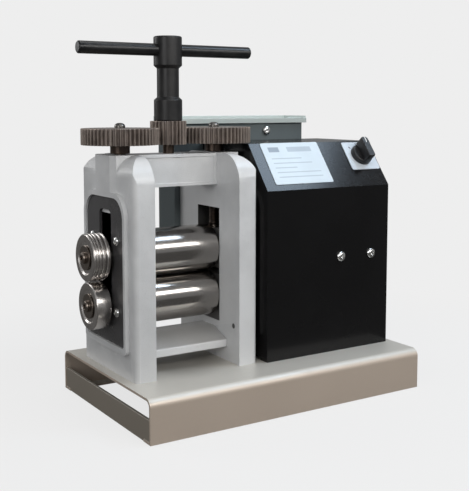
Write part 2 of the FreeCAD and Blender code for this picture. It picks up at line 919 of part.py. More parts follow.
def make_bearing_covers():
    bolts = []
    gap = size.cover_clearance
    for label, side in SIDES:
        half = size.boss_width / 2 - size.recess_rim - gap
        corner = size.recess_corner_radius - gap
        outline = [
            (axis_y - half, level.recess_bottom + gap, 5), (axis_y + half, level.recess_bottom + gap, 5),
            (axis_y + half, level.recess_top - gap, corner), (axis_y - half, level.recess_top - gap, corner),
        ]
        plate = pad(label + "_cover_plate", "YZ", outline, side_span(side, recess_floor, cover_outer))
        slot = size.cover_slot_radius
        slot_x = side_span(side, recess_floor - 1, cover_outer + 1)
        slot_corner = size.cover_slot_corner
        slot_top = window_top + size.cover_slot_rise
        slot_outline = [
            (axis_y - slot, lower_axis - slot, slot - 1), (axis_y + slot, lower_axis - slot, slot - 1),
            (axis_y + slot, slot_top, slot_corner), (axis_y - slot, slot_top, slot_corner),
        ]
        tools = [pad(label + "_cover_slot", "YZ", slot_outline, slot_x)]
        for y, z in cover_bolt_places():
            tools.append(rod(label + "_cover_bolt_hole", "X", (y, z), slot_x, size.cover_bolt_radius))
            x = side_x(side, cover_outer)
            inward = TO_MINUS_X if side > 0 else TO_X
            outward = TO_X if side > 0 else TO_MINUS_X
            head = turned("cover_bolt_head", dome(size.cover_bolt_head_radius, size.cover_bolt_head_height),
                          x, y, z, outward)
            length = size.cover_thickness + size.cover_bolt_depth - 1
            shank = turned("cover_bolt_shank", ring(0, size.cover_bolt_radius, 0, length), x, y, z, inward)
            bolts.append(fuse("cover_bolt", head, shank))
        keep(label + "_bearing_cover", cut(label + "_bearing_cover", plate, *tools))
    keep("bearing_cover_bolts", group("bearing_cover_bolts", *bolts))


# ---------------------------------------------------------------- bearings

def make_bearings():
    gap = size.block_side_clearance
    half = size.window_width / 2 - gap
    far = recess_floor - size.cover_clearance
    near = far - size.block_thickness
    spring_x = far - size.block_thickness / 2
    lower_bushes = []
    upper_bushes = []
    pads = []
    springs = []
    for label, side in SIDES:
        x = side_span(side, near, far)
        bore_x = side_span(side, near - 1, far + 1)
        for tier, axis, z in (
            ("lower", lower_axis, (level.window_bottom, lower_block_top)),
            ("upper", upper_axis, (upper_block_bottom, upper_block_top)),
        ):
            name = f"{label}_{tier}_bearing_block"
            blank = block(name + "_blank", x, about_axis(half), z)
            tools = [rod(name + "_bore", "X", (axis_y, axis), bore_x, bush_radius)]
            pocket = size.spring_pocket_depth
            pocket_z = (z[1] - pocket, z[1] + 1) if tier == "lower" else (z[0] - 1, z[0] + pocket)
            for edge in (-1, 1):
                spot = (side_x(side, spring_x), axis_y + edge * size.spring_offset)
                tools.append(rod(name + "_pocket", "Z", spot, pocket_z, size.spring_pocket_radius))
                if tier == "lower":
                    spring_bottom = lower_block_top - pocket
                    spring_top = upper_block_bottom + pocket
                    springs.append(spring(spot, spring_bottom, spring_top))
            keep(name, cut(name, blank, *tools))
            bush = turned(name + "_bush", ring(size.journal_radius + size.running_clearance, bush_radius,
                                               0, size.block_thickness), x[0], axis_y, axis, TO_X)
            (lower_bushes if tier == "lower" else upper_bushes).append(bush)
        pad_z = (upper_block_top, upper_block_top + size.thrust_pad_height)
        spot = (side_x(side, screw_spacing), axis_y)
        pads.append(rod("thrust_pad", "Z", spot, pad_z, size.thrust_pad_radius))
    keep("lower_bushes", group("lower_bushes", *lower_bushes))
    keep("upper_bushes", group("upper_bushes", *upper_bushes))
    keep("thrust_pads", group("thrust_pads", *pads))
    keep("lift_springs", group("lift_springs", *springs))


def spring(spot, bottom, top):
    """A coil of round wire between the floors of two pockets."""
    radius = size.spring_radius.value - size.spring_wire.value / 2
    wire = size.spring_wire.value / 2
    height = top.value - bottom.value - 2 * wire
    turns = 5
    helix = Part.makeHelix(height / turns, height, radius)
    circle = Part.Wire([Part.makeCircle(wire, Vector(radius, 0, 0), Y_AXIS)])
    sweep = Part.Wire(helix.Edges).makePipeShell([circle], True, True)
    item = doc.addObject("Part::Feature", "lift_spring")
    item.Shape = Part.Solid(sweep) if sweep.ShapeType == "Shell" else sweep
    return place(item, spot[0], spot[1], bottom + size.spring_wire / 2)


# ---------------------------------------------------------------- rolls

def make_rolls():
    near = half_opening - size.roll_end_clearance
    drive_end = {
        "upper": size.roll_gear_start + size.roll_gear_width + 3,
        "lower": size.gearbox_start + size.gearbox_wall + size.output_gear_width + 4,
    }
    for tier, axis, reach, grooved in (
        ("upper", upper_axis, size.upper_side_roll_reach, True),
        ("lower", lower_axis, size.lower_side_roll_reach, False),
    ):
        side_roll_outer = cover_outer + reach
        side_roll_inner = cover_outer + size.side_roll_gap
        left_end = side_roll_outer - size.side_shaft_setback
        journal_end = recess_floor
        screw_hole = size.side_screw_radius
        right = drive_end[tier] - mill_x
        barrel = size.roll_radius
        bevel = size.roll_chamfer
        journal = size.journal_radius
        shaft = size.side_shaft_radius
        profile = [
            (0, size.side_screw_depth - left_end), (screw_hole, size.side_screw_depth - left_end),
            (screw_hole, -left_end), (shaft, -left_end), (shaft, -journal_end), (journal, -journal_end),
            (journal, -near), (barrel - bevel, -near), (barrel, bevel - near), (barrel, near - bevel),
            (barrel - bevel, near), (journal, near), (journal, journal_end),
            (size.drive_shaft_radius, journal_end), (size.drive_shaft_radius, right), (0, right),
        ]
        keep(tier + "_roller", turned(tier + "_roller", profile, mill_x, axis_y, axis, TO_X))
        make_side_roll(tier, axis, side_roll_inner, side_roll_outer, left_end, grooved)
    make_roll_gears()


def make_side_roll(tier, axis, inner, outer, left_end, grooved):
    """A short roll on the left shaft end, with its end screw."""
    radius = size.side_roll_radius
    shaft = size.side_shaft_radius
    dish_radius = radius - 8
    dish = 1.6
    disc = turned(tier + "_side_disc", [
        (shaft, inner), (radius - 1, inner), (radius, inner + 1), (radius, outer - 1.2),
        (radius - 1.2, outer), (dish_radius, outer), (dish_radius - dish, outer - dish),
        (shaft, outer - dish),
    ], mill_x, axis_y, axis, TO_MINUS_X)
    name = tier + "_side_roller"
    if grooved:
        tools = []
        width = outer - inner
        for place_at, scale in ((0.2, 1.3), (0.45, 1.0), (0.66, 0.8), (0.83, 0.6)):
            groove = doc.addObject("Part::Torus", "wire_groove")
            bind(groove, {"Radius1": radius, "Radius2": size.wire_groove_radius * scale})
            place(groove, mill_x - (inner + width * place_at), axis_y, axis, TO_X)
            tools.append(groove)
        disc = cut(name + "_grooved", disc, *tools)
    keep(name, disc)
    head = size.side_screw_head_radius
    height = size.side_screw_head_height
    washer = 1.5
    socket = head * 0.4
    screw_start = left_end - size.side_screw_depth + 1
    profile = [
        (0, screw_start), (size.side_screw_radius, screw_start), (size.side_screw_radius, left_end),
        (shaft + 3, left_end), (shaft + 3, left_end + washer),
        (head, left_end + washer), (head, left_end + washer + height * 0.5),
        (head * 0.75, left_end + washer + height), (socket, left_end + washer + height),
        (socket, left_end + washer + 1), (0, left_end + washer + 1),
    ]
    screw = tier + "_side_roller_screw"
    keep(screw, turned(screw, profile, mill_x, axis_y, axis, TO_MINUS_X))


def make_roll_gears():
    """The two gears that turn the rolls together."""
    teeth = size.roll_gear_teeth
    bore = size.drive_shaft_radius
    for tier, axis in (("upper", upper_axis), ("lower", lower_axis)):
        up = TO_X.multiply(Rotation(Z_AXIS, 180))
        name = tier + "_roll_gear"
        keep(name, gear(name, teeth, size.roll_gear_module, size.roll_gear_width, bore,
                        size.roll_gear_backlash, up, size.roll_gear_start, axis_y, axis))


# ---------------------------------------------------------------- screw-down gear and tee handle

def make_screw_down():
    gear_z = level.screw_gear_bottom
    gear_top = gear_z + size.screw_gear_width
    half_tooth = 180 / size.screw_gear_teeth.value
    tip = upper_block_top + size.thrust_pad_height
    for label, side in SIDES:
        x = side_x(side, screw_spacing)
        seat = size.screw_seat_radius
        collar_bottom = level.frame_top + size.collar_lift
        thread_top = gear_top + size.cap_nut_height * 0.5
        profile = [
            (0, tip), (size.screw_radius - 1, tip), (size.screw_radius, tip + 1),
            (size.screw_radius, collar_bottom), (size.collar_radius, collar_bottom),
            (size.collar_radius, gear_z), (seat, gear_z), (seat, gear_top), (4, gear_top),
            (4, thread_top), (0, thread_top),
        ]
        name = label + "_pressure_screw"
        keep(name, turned(name, profile, x, axis_y, 0))
        name = label + "_screw_gear"
        keep(name, gear(name, size.screw_gear_teeth, size.gear_module, size.screw_gear_width, seat,
                        size.gear_backlash, Rotation(Z_AXIS, half_tooth), x, axis_y, gear_z))
        name = label + "_gear_nut"
        nut = size.cap_nut_radius
        height = size.cap_nut_height
        skirt = height * 0.5
        profile = [
            (4, 0), (nut, 0), (nut, height * 0.45), (nut * 0.8, height * 0.78), (nut * 0.4, height),
            (0, height), (0, skirt), (4, skirt),
        ]
        keep(name, turned(name, profile, x, axis_y, gear_top))
    make_pinion()


def make_pinion():
    bottom = level.pinion_bottom
    top = bottom + size.pinion_width
    bore = size.stud_radius + size.running_clearance
    wheel = gear("pinion_teeth", size.pinion_teeth, size.gear_module, size.pinion_width, bore,
                 size.gear_backlash, Rotation(), mill_x, axis_y, bottom)
    spigot = turned("pinion_spigot", ring(bore, size.spigot_radius, top - 1, top + size.spigot_height),
                    mill_x, axis_y, 0)
    keep("centre_pinion", fuse("centre_pinion", wheel, spigot))
    bridge = level.top_bridge_top
    collar = size.stud_collar_radius
    shoulder = bottom - 0.4
    profile = [
        (0, bridge - size.stud_thread_depth), (size.stud_radius, bridge - size.stud_thread_depth),
        (size.stud_radius, bridge), (collar, bridge), (collar, shoulder), (size.stud_radius, shoulder),
        (size.stud_radius, top + size.spigot_height - 3), (0, top + size.spigot_height - 3),
    ]
    keep("pinion_stud", turned("pinion_stud", profile, mill_x, axis_y, 0))
    make_tee_handle(top)


def make_tee_handle(hub_bottom):
    hub = size.hub_radius
    neck = size.neck_radius
    taper = size.hub_taper
    socket = size.spigot_radius
    socket_top = hub_bottom + size.spigot_height + 0.5
    neck_start = hub_bottom + size.hub_lower_length
    neck_end = neck_start + size.neck_length
    bar_height = neck_end + size.hub_below_bar
    hub_top = bar_height + size.hub_above_bar
    profile = [
        (socket, hub_bottom), (hub - 1, hub_bottom), (hub, hub_bottom + 1), (hub, neck_start - taper),
        (neck, neck_start), (neck, neck_end - taper), (hub, neck_end), (hub, hub_top - 1.2),
        (hub - 1.2, hub_top), (0, hub_top), (0, socket_top), (socket, socket_top),
    ]
    blank = turned("hub_blank", profile, mill_x, axis_y, 0)
    half = size.bar_length / 2
    cross = rod("bar_hole", "X", (axis_y, bar_height), (mill_x - hub - 1, mill_x + hub + 1), size.bar_radius)
    grub = size.grub_radius
    top_span = (bar_height + size.bar_radius - 1, hub_top + 1)
    grub_z = hub_bottom + size.spigot_height / 2
    back_span = (axis_y + socket - 1, axis_y + hub + 1)
    keep("tee_handle_hub", cut(
        "tee_handle_hub", blank, cross,
        rod("top_grub_hole", "Z", (mill_x, axis_y), top_span, grub),
        rod("back_grub_hole", "Y", (mill_x, grub_z), back_span, grub),
    ))
    bevel = size.bar_chamfer
    radius = size.bar_radius
    profile = [
        (0, -half), (radius - bevel, -half), (radius, bevel - half), (radius, half - bevel),
        (radius - bevel, half), (0, half),
    ]
    keep("tee_handle_bar", turned("tee_handle_bar", profile, mill_x, axis_y, bar_height, TO_X))
    top_z = (bar_height + size.bar_radius, hub_top - 1)
    back_y = (axis_y + socket, axis_y + hub - 1)
    keep("handle_grub_screws", group(
        "handle_grub_screws",
        rod("top_grub", "Z", (mill_x, axis_y), top_z, grub),
        rod("back_grub", "Y", (mill_x, grub_z), back_y, grub),
    ))


# ---------------------------------------------------------------- motor housing

def panel_point(rise, lift):
    """Y and Z of a point a way up the slanted panel and a lift above its face."""
    y = housing_front + rise * panel_cos - lift * panel_sin
    z = level.fold_height + rise * panel_sin + lift * panel_cos
    return y, z


PANEL_TILT = "atan2({}; {})"


def on_panel(item, x, rise, lift):
    """Lay an object on the slanted panel, its own Z square to the panel."""
    y, z = panel_point(rise, lift)
    angle = math.degrees(math.atan2(panel_rise.value, size.panel_run.value))
    place(item, x, y, z, Rotation(X_AXIS, angle))
    item.setExpression("Placement.Rotation.Angle", PANEL_TILT.format(panel_rise.text, size.panel_run.text))
    return item


def housing_outline(inset):
    """The housing's side view, drawn in by an inset that the slanted panel keeps too."""
    front = housing_front + inset
    back = housing_back - inset
    top = level.housing_top - inset
    # where lines set in by the inset meet the slanted face
    fold = level.fold_height - inset * (1 - panel_sin) / panel_cos
    crest = housing_front + size.panel_run + inset * (1 - panel_cos) / panel_sin
    return [(front, base_top), (back, base_top), (back, top), (crest, top), (front, fold)]


def make_housing():
    wall = size.housing_wall
    shell = pad("housing_blank", "YZ", housing_outline(0), (housing_left, housing_right))
    inside_x = (housing_left + wall, housing_right - wall)
    hollow = housing_outline(wall)
    hollow[0] = (hollow[0][0], base_top + wall)
    hollow[1] = (hollow[1][0], base_top + wall)
    tools = [pad("housing_hollow", "YZ", hollow, inside_x)]
    flange = size.housing_flange
    floor_x = (housing_left - 1, housing_right - wall)
    floor_y = (housing_front + wall + flange, housing_back - wall - flange)
    tools.append(block("housing_floor_opening", floor_x, floor_y, (base_top - 1, base_top + wall + 1)))
    slot_x = (housing_left - 1, housing_left + wall + 1)
    slot_half = size.shaft_slot_width / 2
    tools.append(block("shaft_slot", slot_x, about_axis(slot_half), (base_top - 1, level.shaft_slot_top)))
    neck = rod("switch_hole", "Z", (0, 0), (-wall - 1, wall + 1), size.switch_neck_radius)
    tools.append(on_panel(neck, switch_x(), switch_rise(), -wall - 1))
    for x in front_screw_places():
        spot = (x, level.front_screw_height)
        span = (housing_front - 1, housing_front + wall + 1)
        tools.append(rod("front_screw_hole", "Y", spot, span, size.dome_screw_radius))
    for x, y in base_screw_places():
        span = (base_top - 1, base_top + wall + 1)
        tools.append(rod("housing_base_hole", "Z", (x, y), span, size.base_screw_radius))
    for spot in mount_screw_places():
        span = (housing_back - wall - 1, housing_back + 1)
        tools.append(rod("housing_mount_hole", "Y", spot, span, size.dome_screw_radius))
    keep("motor_housing", cut("motor_housing", shell, *tools))
    make_front_screws()
    make_base_screws()
    make_panel_pieces()


def switch_x():
    return housing_right - size.switch_inset


def switch_rise():
    return panel_length - size.switch_crest_distance


def front_screw_places():
    right = housing_right - size.front_screw_inset
    return (right - size.front_screw_pitch, right)


def make_front_screws():
    screws = []
    wall = size.housing_wall
    length = wall + size.clamp_thickness + 4
    for x in front_screw_places():
        head = turned("front_screw_head", dome(size.dome_head_radius, size.dome_head_height),
                      x, housing_front, level.front_screw_height, TO_MINUS_Y)
        shank = turned("front_screw_shank", ring(0, size.dome_screw_radius, 0, length),
                       x, housing_front, level.front_screw_height, TO_Y)
        screws.append(fuse("front_screw", head, shank))
    dome_screws.extend(screws)
    # the clamp is a strap behind the front wall that holds the run capacitor
    left, right = front_screw_places()
    inner = housing_front + wall
    clamp = size.clamp_thickness
    radius = size.capacitor_radius
    z = level.front_screw_height
    middle = (left + right) / 2
    tall = size.clamp_half_height
    tab = size.clamp_tab
    strap = block("strap_flat", (left - tab, right + tab), (inner, inner + clamp), (z - tall, z + tall))
    centre_y = inner + clamp + radius
    loop = rod("strap_loop", "Z", (middle, centre_y), (z - tall, z + tall), radius + clamp)
    past = (z - tall - 1, z + tall + 1)
    bore = rod("strap_bore", "Z", (middle, centre_y), past, radius)
    holes = [rod("strap_hole", "Y", (x, z), (inner - 1, inner + clamp + 1), size.dome_screw_radius)
             for x in (left, right)]
    strap_body = fuse("strap_body", strap, loop)
    wall_clear = block("strap_trim", (left - tab - 1, right + tab + 1), (inner - clamp - 2, inner), past)
    keep("capacitor_clamp", cut("capacitor_clamp", strap_body, bore, wall_clear, *holes))
    can_z = z - size.capacitor_length / 2
    keep("run_capacitor", turned("run_capacitor", [
        (0, 0), (radius - 1, 0), (radius, 1), (radius, size.capacitor_length - 1),
        (radius - 1, size.capacitor_length), (0, size.capacitor_length),
    ], middle, centre_y, can_z))


def make_base_screws():
    screws = []
    under = base_top - size.base_wall
    for x, y in base_screw_places():
        head = turned("base_screw_head", dome(size.dome_head_radius, size.dome_head_height),
                      x, y, under, Rotation(X_AXIS, 180))
        top = size.base_wall + size.housing_wall + 2
        shank = turned("base_screw_shank", ring(0, size.base_screw_radius, 0, top), x, y, under)
        screws.append(fuse("base_screw", head, shank))
    keep("housing_base_screws", group("housing_base_screws", *screws))


def make_panel_pieces():
    plate = doc.addObject("Part::Box", "name_plate")
    plate_height = panel_length - size.name_plate_rise - size.name_plate_crest_margin
    bind(plate, {"Length": size.name_plate_width, "Width": plate_height, "Height": size.name_plate_thickness})
    on_panel(plate, housing_left + size.name_plate_inset, size.name_plate_rise, dim(0))
    keep("name_plate", plate)
    x = switch_x()
    rise = switch_rise()
    wide = size.switch_plate_width / 2
    tall = size.switch_plate_height / 2
    thick = size.switch_plate_thickness
    plate_outline = [(-wide, -tall, 3), (wide, -tall, 3), (wide, tall, 3), (-wide, tall, 3)]
    blank = pad("switch_plate_blank", "XY", plate_outline, (dim(0), thick))
    hole = rod("switch_plate_hole", "Z", (0, 0), (dim(-1), thick + 1), size.switch_neck_radius)
    keep("switch_plate", on_panel(cut("switch_plate", blank, hole), x, rise, dim(0)))
    body_half = size.switch_body_size / 2
    wall = size.housing_wall
    case = block("switch_case", (-body_half, body_half), (-body_half, body_half),
                 (-wall - size.switch_body_depth, -wall))
    neck = rod("switch_neck", "Z", (0, 0), (-wall - 1, thick), size.switch_neck_radius)
    shaft_bore = rod("switch_bore", "Z", (0, 0), (-wall - size.switch_shaft_depth, thick + 1),
                     size.switch_shaft_radius + size.running_clearance)
    body = cut("switch_body", fuse("switch_case_and_neck", case, neck), shaft_bore)
    keep("switch_body", on_panel(body, x, rise, dim(0)))
    start = thick + size.knob_clearance
    radius = size.knob_radius
    top = start + size.knob_base_height
    shaft_end = 2 - wall - size.switch_shaft_depth
    skirt = turned("knob_skirt", [
        (0, shaft_end), (size.switch_shaft_radius, shaft_end), (size.switch_shaft_radius, start),
        (radius, start), (radius, top - 1.5), (radius - 1.5, top), (0, top),
    ])
    grip_half = size.knob_grip_length / 2
    grip_width = size.knob_grip_width / 2
    grip = pad("knob_grip", "XY", [
        (-grip_width, -radius, 2), (grip_width, -radius, 2),
        (grip_width, grip_half, 4), (-grip_width, grip_half, 4),
    ], (top - 2, start + size.knob_height))
    knob = fuse("switch_knob", skirt, grip)
    keep("switch_knob", on_panel(knob, x, rise, dim(0)))


# ---------------------------------------------------------------- electrics box

def box_x():
    return (-size.box_left, size.box_width - size.box_left)


def box_y():
    return (housing_back, housing_back + size.box_depth)


def box_screw_places():
    x = box_x()
    return (x[0] + size.box_screw_inset, x[1] - size.box_screw_inset)


def make_electrics_box():
    x, y = box_x(), box_y()
    z = (level.box_top - size.box_height, level.box_top)
    wall = size.box_wall
    outer = block("box_blank", x, y, z)
    inner = block("box_hollow", (x[0] + wall, x[1] - wall), (y[0] + wall, y[1] - wall),
                  (z[0] + wall, z[1] + 1))
    gland_y = (y[0] + y[1]) / 2
    tabs = []
    tab_holes = []
    tools = [inner, rod("gland_hole", "X", (gland_y, level.gland_height), (x[1] - wall - 1, x[1] + 1),
                        size.gland_radius - 3)]
    for place_x in box_screw_places():
        spot = (place_x, level.box_screw_height)
        tab_y = (y[0] + wall, y[0] + 2 * wall)
        tabs.append(block("lid_tab", (place_x - 10, place_x + 10), tab_y, (spot[1] - 9, z[1] + 1)))
        tab_holes.append(rod("lid_tab_hole", "Y", spot, (tab_y[0] - 1, tab_y[1] + 1), size.dome_screw_radius))
        tools.append(rod("box_screw_hole", "Y", spot, (y[0] - 1, y[0] + wall + 1), size.dome_screw_radius))
        head = turned("box_screw_head", dome(size.dome_head_radius, size.dome_head_height),
                      place_x, y[0], level.box_screw_height, TO_MINUS_Y)
        shank = turned("box_screw_shank", ring(0, size.dome_screw_radius, 0, wall + 5),
                       place_x, y[0], level.box_screw_height, TO_Y)
        dome_screws.append(fuse("box_screw", head, shank))
    for spot in mount_screw_places():
        tools.append(rod("mount_screw_hole", "Y", spot, (y[0] - 1, y[0] + wall + 1), size.dome_screw_radius))
        head = turned("mount_screw_head", dome(size.dome_head_radius, size.dome_head_height),
                      spot[0], y[0] + wall, spot[1], TO_Y)
        shank = turned("mount_screw_shank", ring(0, size.dome_screw_radius, 0, wall + size.housing_wall + 3),
                       spot[0], y[0] + wall, spot[1], TO_MINUS_Y)
        dome_screws.append(fuse("mount_screw", head, shank))
    keep("electrics_box", cut("electrics_box", outer, *tools))
    keep("dome_screws", group("dome_screws", *dome_screws))
    over = size.tray_overhang
    tray_x = (x[0] - over, x[1] + over)
    tray_y = (y[0] - over, y[1] + over)
    sheet_top = z[1] + wall
    rim = size.tray_rim
    blank = block("tray_blank", tray_x, tray_y, (z[1], z[1] + rim))
    back = block("tray_back_rims", tray_x, (tray_y[0] + wall, tray_y[1]), (z[1], z[1] + size.tray_back_rim))
    dish = block("tray_dish", (tray_x[0] + wall, tray_x[1] - wall), (tray_y[0] + wall, tray_y[1] - wall),
                 (sheet_top, z[1] + size.tray_back_rim + 1))
    keep("tray_lid", cut("tray_lid", fuse("tray_sheet", blank, back, *tabs), dish, *tab_holes))
    middle = (x[0] + x[1]) / 2
    half = size.terminal_length / 2
    back_inner = y[1] - wall
    strip_bottom = z[0] + size.terminal_rise
    strip = block("terminal_strip", (middle - half, middle + half),
                  (back_inner - size.terminal_depth, back_inner),
                  (strip_bottom, strip_bottom + size.terminal_height))
    keep("terminal_block", strip)
    gland = size.gland_radius
    profile = [
        (size.gland_bore, -4), (gland, -4), (gland, -wall), (gland - 3, -wall), (gland - 3, 0), (gland, 0),
        (gland, 6), (gland - 1.5, 7), (gland - 1.5, size.gland_length - 3), (gland - 4, size.gland_length),
        (size.gland_bore, size.gland_length),
    ]
    keep("cable_gland", turned("cable_gland", profile, x[1], gland_y, level.gland_height, TO_X))


def mount_screw_places():
    """X and Z of the screws that hold the box to the housing's back."""
    z = level.mount_screw_height
    return ((housing_left + size.mount_screw_inset, z), (housing_right - size.mount_screw_inset, z))


# ---------------------------------------------------------------- gearbox and motor

def layshaft_height():
    return lower_axis + size.output_module * (size.output_teeth + size.output_pinion_teeth) / 2


def make_gearbox():
    start = size.gearbox_start
    wall = size.gearbox_wall
    cover_start = start + size.gearbox_length - wall
    y = about_axis(size.gearbox_half_width)
    z = (level.gearbox_bottom, level.gearbox_top)
    shell = block("gearbox_blank", (start, cover_start), y, z)
    foot = block("gearbox_foot_block", (start, cover_start), y, (base_top, z[0] + 1))
    arch = block("gearbox_arch", (start + wall, cover_start + 1), about_axis(size.gearbox_half_width - 20),
                 (base_top + size.gearbox_foot, z[0] - 1))
    hollow = block("gearbox_hollow", (start + wall, cover_start + 1),
                   (y[0] + wall, y[1] - wall), (z[0] + wall, z[1] - wall))
    fit = size.running_clearance
    shaft_hole = rod("gearbox_shaft_hole", "X", (axis_y, lower_axis), (start - 1, start + wall + 1),
                     size.drive_shaft_radius + fit)
    lay = layshaft_height()
    lay_hole = rod("layshaft_hole", "X", (axis_y, lay), (start - 1, start + wall + 1),
                   size.layshaft_radius + fit)
    bolts = []
    holes = []
    bolt_radius = size.gearbox_bolt_radius
    head_height = size.gearbox_bolt_head_height
    head_z = base_top - size.base_wall - head_height
    for x, place_y in gearbox_bolt_places():
        deep = (base_top - 1, base_top + size.gearbox_foot - 2)
        holes.append(rod("gearbox_bolt_hole", "Z", (x, place_y), deep, bolt_radius))
        head = hexagon("gearbox_bolt_head", x, place_y, head_z, bolt_radius * 1.8, head_height)
        shank = rod("gearbox_bolt_shank", "Z", (x, place_y), (head_z, deep[1] - 1), bolt_radius)
        bolts.append(fuse("gearbox_bolt", head, shank))
    body = fuse("gearbox_body", shell, foot)
    keep("gearbox_case", cut("gearbox_case", body, hollow, arch, shaft_hole, lay_hole, *holes))
    keep("gearbox_bolts", group("gearbox_bolts", *bolts))
    cover_x = (cover_start, cover_start + wall)
    plate = block("gearbox_cover_plate", cover_x, y, z)
    rotor_hole = rod("rotor_hole", "X", (axis_y, lower_axis), (cover_x[0] - 1, cover_x[1] + 1),
                     size.motor_shaft_radius + fit)
    lay_cover_hole = rod("lay_cover_hole", "X", (axis_y, lay), (cover_x[0] - 1, cover_x[1] + 1),
                         size.layshaft_radius + fit)
    keep("gearbox_cover", cut("gearbox_cover", plate, rotor_hole, lay_cover_hole))
    make_gear_train(start + wall, cover_start)
    make_motor(cover_x[1])


def make_gear_train(inside, cover_start):
    """Output gear on the lower roll's shaft, layshaft with its two gears, motor pinion on the rotor."""
    gap = size.gear_train_gap
    output_x = inside + gap
    output = gear("output_gear", size.output_teeth, size.output_module, size.output_gear_width,
                  size.drive_shaft_radius, size.train_backlash, TO_X.multiply(Rotation(Z_AXIS, 180)),
                  output_x, axis_y, lower_axis)
    keep("output_gear", output)
    lay = layshaft_height()
    half_output = 180 / size.output_pinion_teeth.value
    small = gear("layshaft_pinion", size.output_pinion_teeth, size.output_module, size.output_gear_width,
                 size.layshaft_radius, size.train_backlash,
                 TO_X.multiply(Rotation(Z_AXIS, half_output)), output_x, axis_y, lay)
    input_x = cover_start - gap - size.input_gear_width
    half_input = 180 / size.input_teeth.value
    large = gear("layshaft_wheel", size.input_teeth, size.input_module, size.input_gear_width,
                 size.layshaft_radius, size.train_backlash,
                 TO_X.multiply(Rotation(Z_AXIS, half_input)), input_x, axis_y, lay)
    wall = size.gearbox_wall
    shaft_span = (inside - wall + 0.5, cover_start + wall - 0.5)
    shaft = rod("layshaft", "X", (axis_y, lay), shaft_span, size.layshaft_radius)
    collar_span = (output_x + size.output_gear_width, input_x)
    collar = rod("layshaft_collar", "X", (axis_y, lay), collar_span, size.layshaft_radius + 3)
    keep("layshaft_gears", fuse("layshaft_gears", small, large, shaft, collar))


def make_motor(start):
    wall = size.motor_wall
    radius = size.motor_radius
    shield = size.end_shield_thickness
    fit = size.running_clearance
    shaft = size.motor_shaft_radius
    case_end = start + size.motor_length
    inside = radius - wall
    keep("motor_case", turned("motor_case", [
        (shaft + fit, 0), (radius, 0), (radius, size.motor_length), (inside, size.motor_length),
        (inside, shield), (shaft + fit, shield),
    ], start, axis_y, lower_axis, TO_X))
    rotor = size.rotor_radius
    stator_end = shield + size.rotor_length + 8
    keep("motor_stator", turned("motor_stator", ring(rotor + 0.5, inside, shield + 4, stator_end),
                                start, axis_y, lower_axis, TO_X))
    keep("motor_end_shield", end_shield(case_end, radius, inside, shield, shaft + fit))
    input_x = start - size.gearbox_wall - size.gear_train_gap - size.input_gear_width
    pinion = gear("motor_pinion", size.motor_pinion_teeth, size.input_module, size.input_gear_width,
                  shaft, size.train_backlash, TO_X, input_x, axis_y, lower_axis)
    axis = (axis_y, lower_axis)
    rotor_start = start + shield + 6
    core_span = (rotor_start, rotor_start + size.rotor_length - 4)
    core = rod("rotor_core", "X", axis, core_span, rotor)
    spindle_end = start + size.motor_length + shield - 4
    spindle = rod("rotor_shaft", "X", axis, (input_x, spindle_end), shaft)
    keep("motor_rotor", fuse("motor_rotor", core, spindle, pinion))


def end_shield(start, radius, inside, shield, bore):
    """The motor's rear cover, with a spigot inside the case and a blind bearing bore."""
    return turned("motor_end_shield", [
        (0, shield - 2), (bore, shield - 2), (bore, 0), (inside - 4, 0), (inside - 4, -2), (inside, -2),
        (inside, 0), (radius, 0), (radius, shield - 2), (radius - 2, shield), (0, shield),
    ], start, axis_y, lower_axis, TO_X)


# ---------------------------------------------------------------- build, check and write

make_base()
for side_label, side_sign in SIDES:
    make_side_frame(side_label + "_side_frame", side_sign)
make_bridges()
make_foot_bolts()
make_bearing_covers()
make_bearings()
make_rolls()
make_screw_down()
make_housing()
make_electrics_box()
make_gearbox()

doc.recompute()

for item in doc.Objects:
    if "Invalid" in item.State or "Error" in item.State:
        raise RuntimeError(f"{item.Label} failed: {item.State}")
for label, item in parts.items():
    if item.Shape.isNull() or not item.Shape.isValid() or not item.Shape.Solids:
        raise RuntimeError(f"{label} has no valid solid")

os.makedirs("parts", exist_ok=True)
for label, item in parts.items():
    item.Shape.exportStep(f"parts/{label}.step")
print(f"wrote {len(parts)} sub-parts")
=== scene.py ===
import json
import math

import bmesh
import bpy
from bpy.props import FloatProperty, FloatVectorProperty, IntProperty, PointerProperty
from mathutils import Matrix, Vector

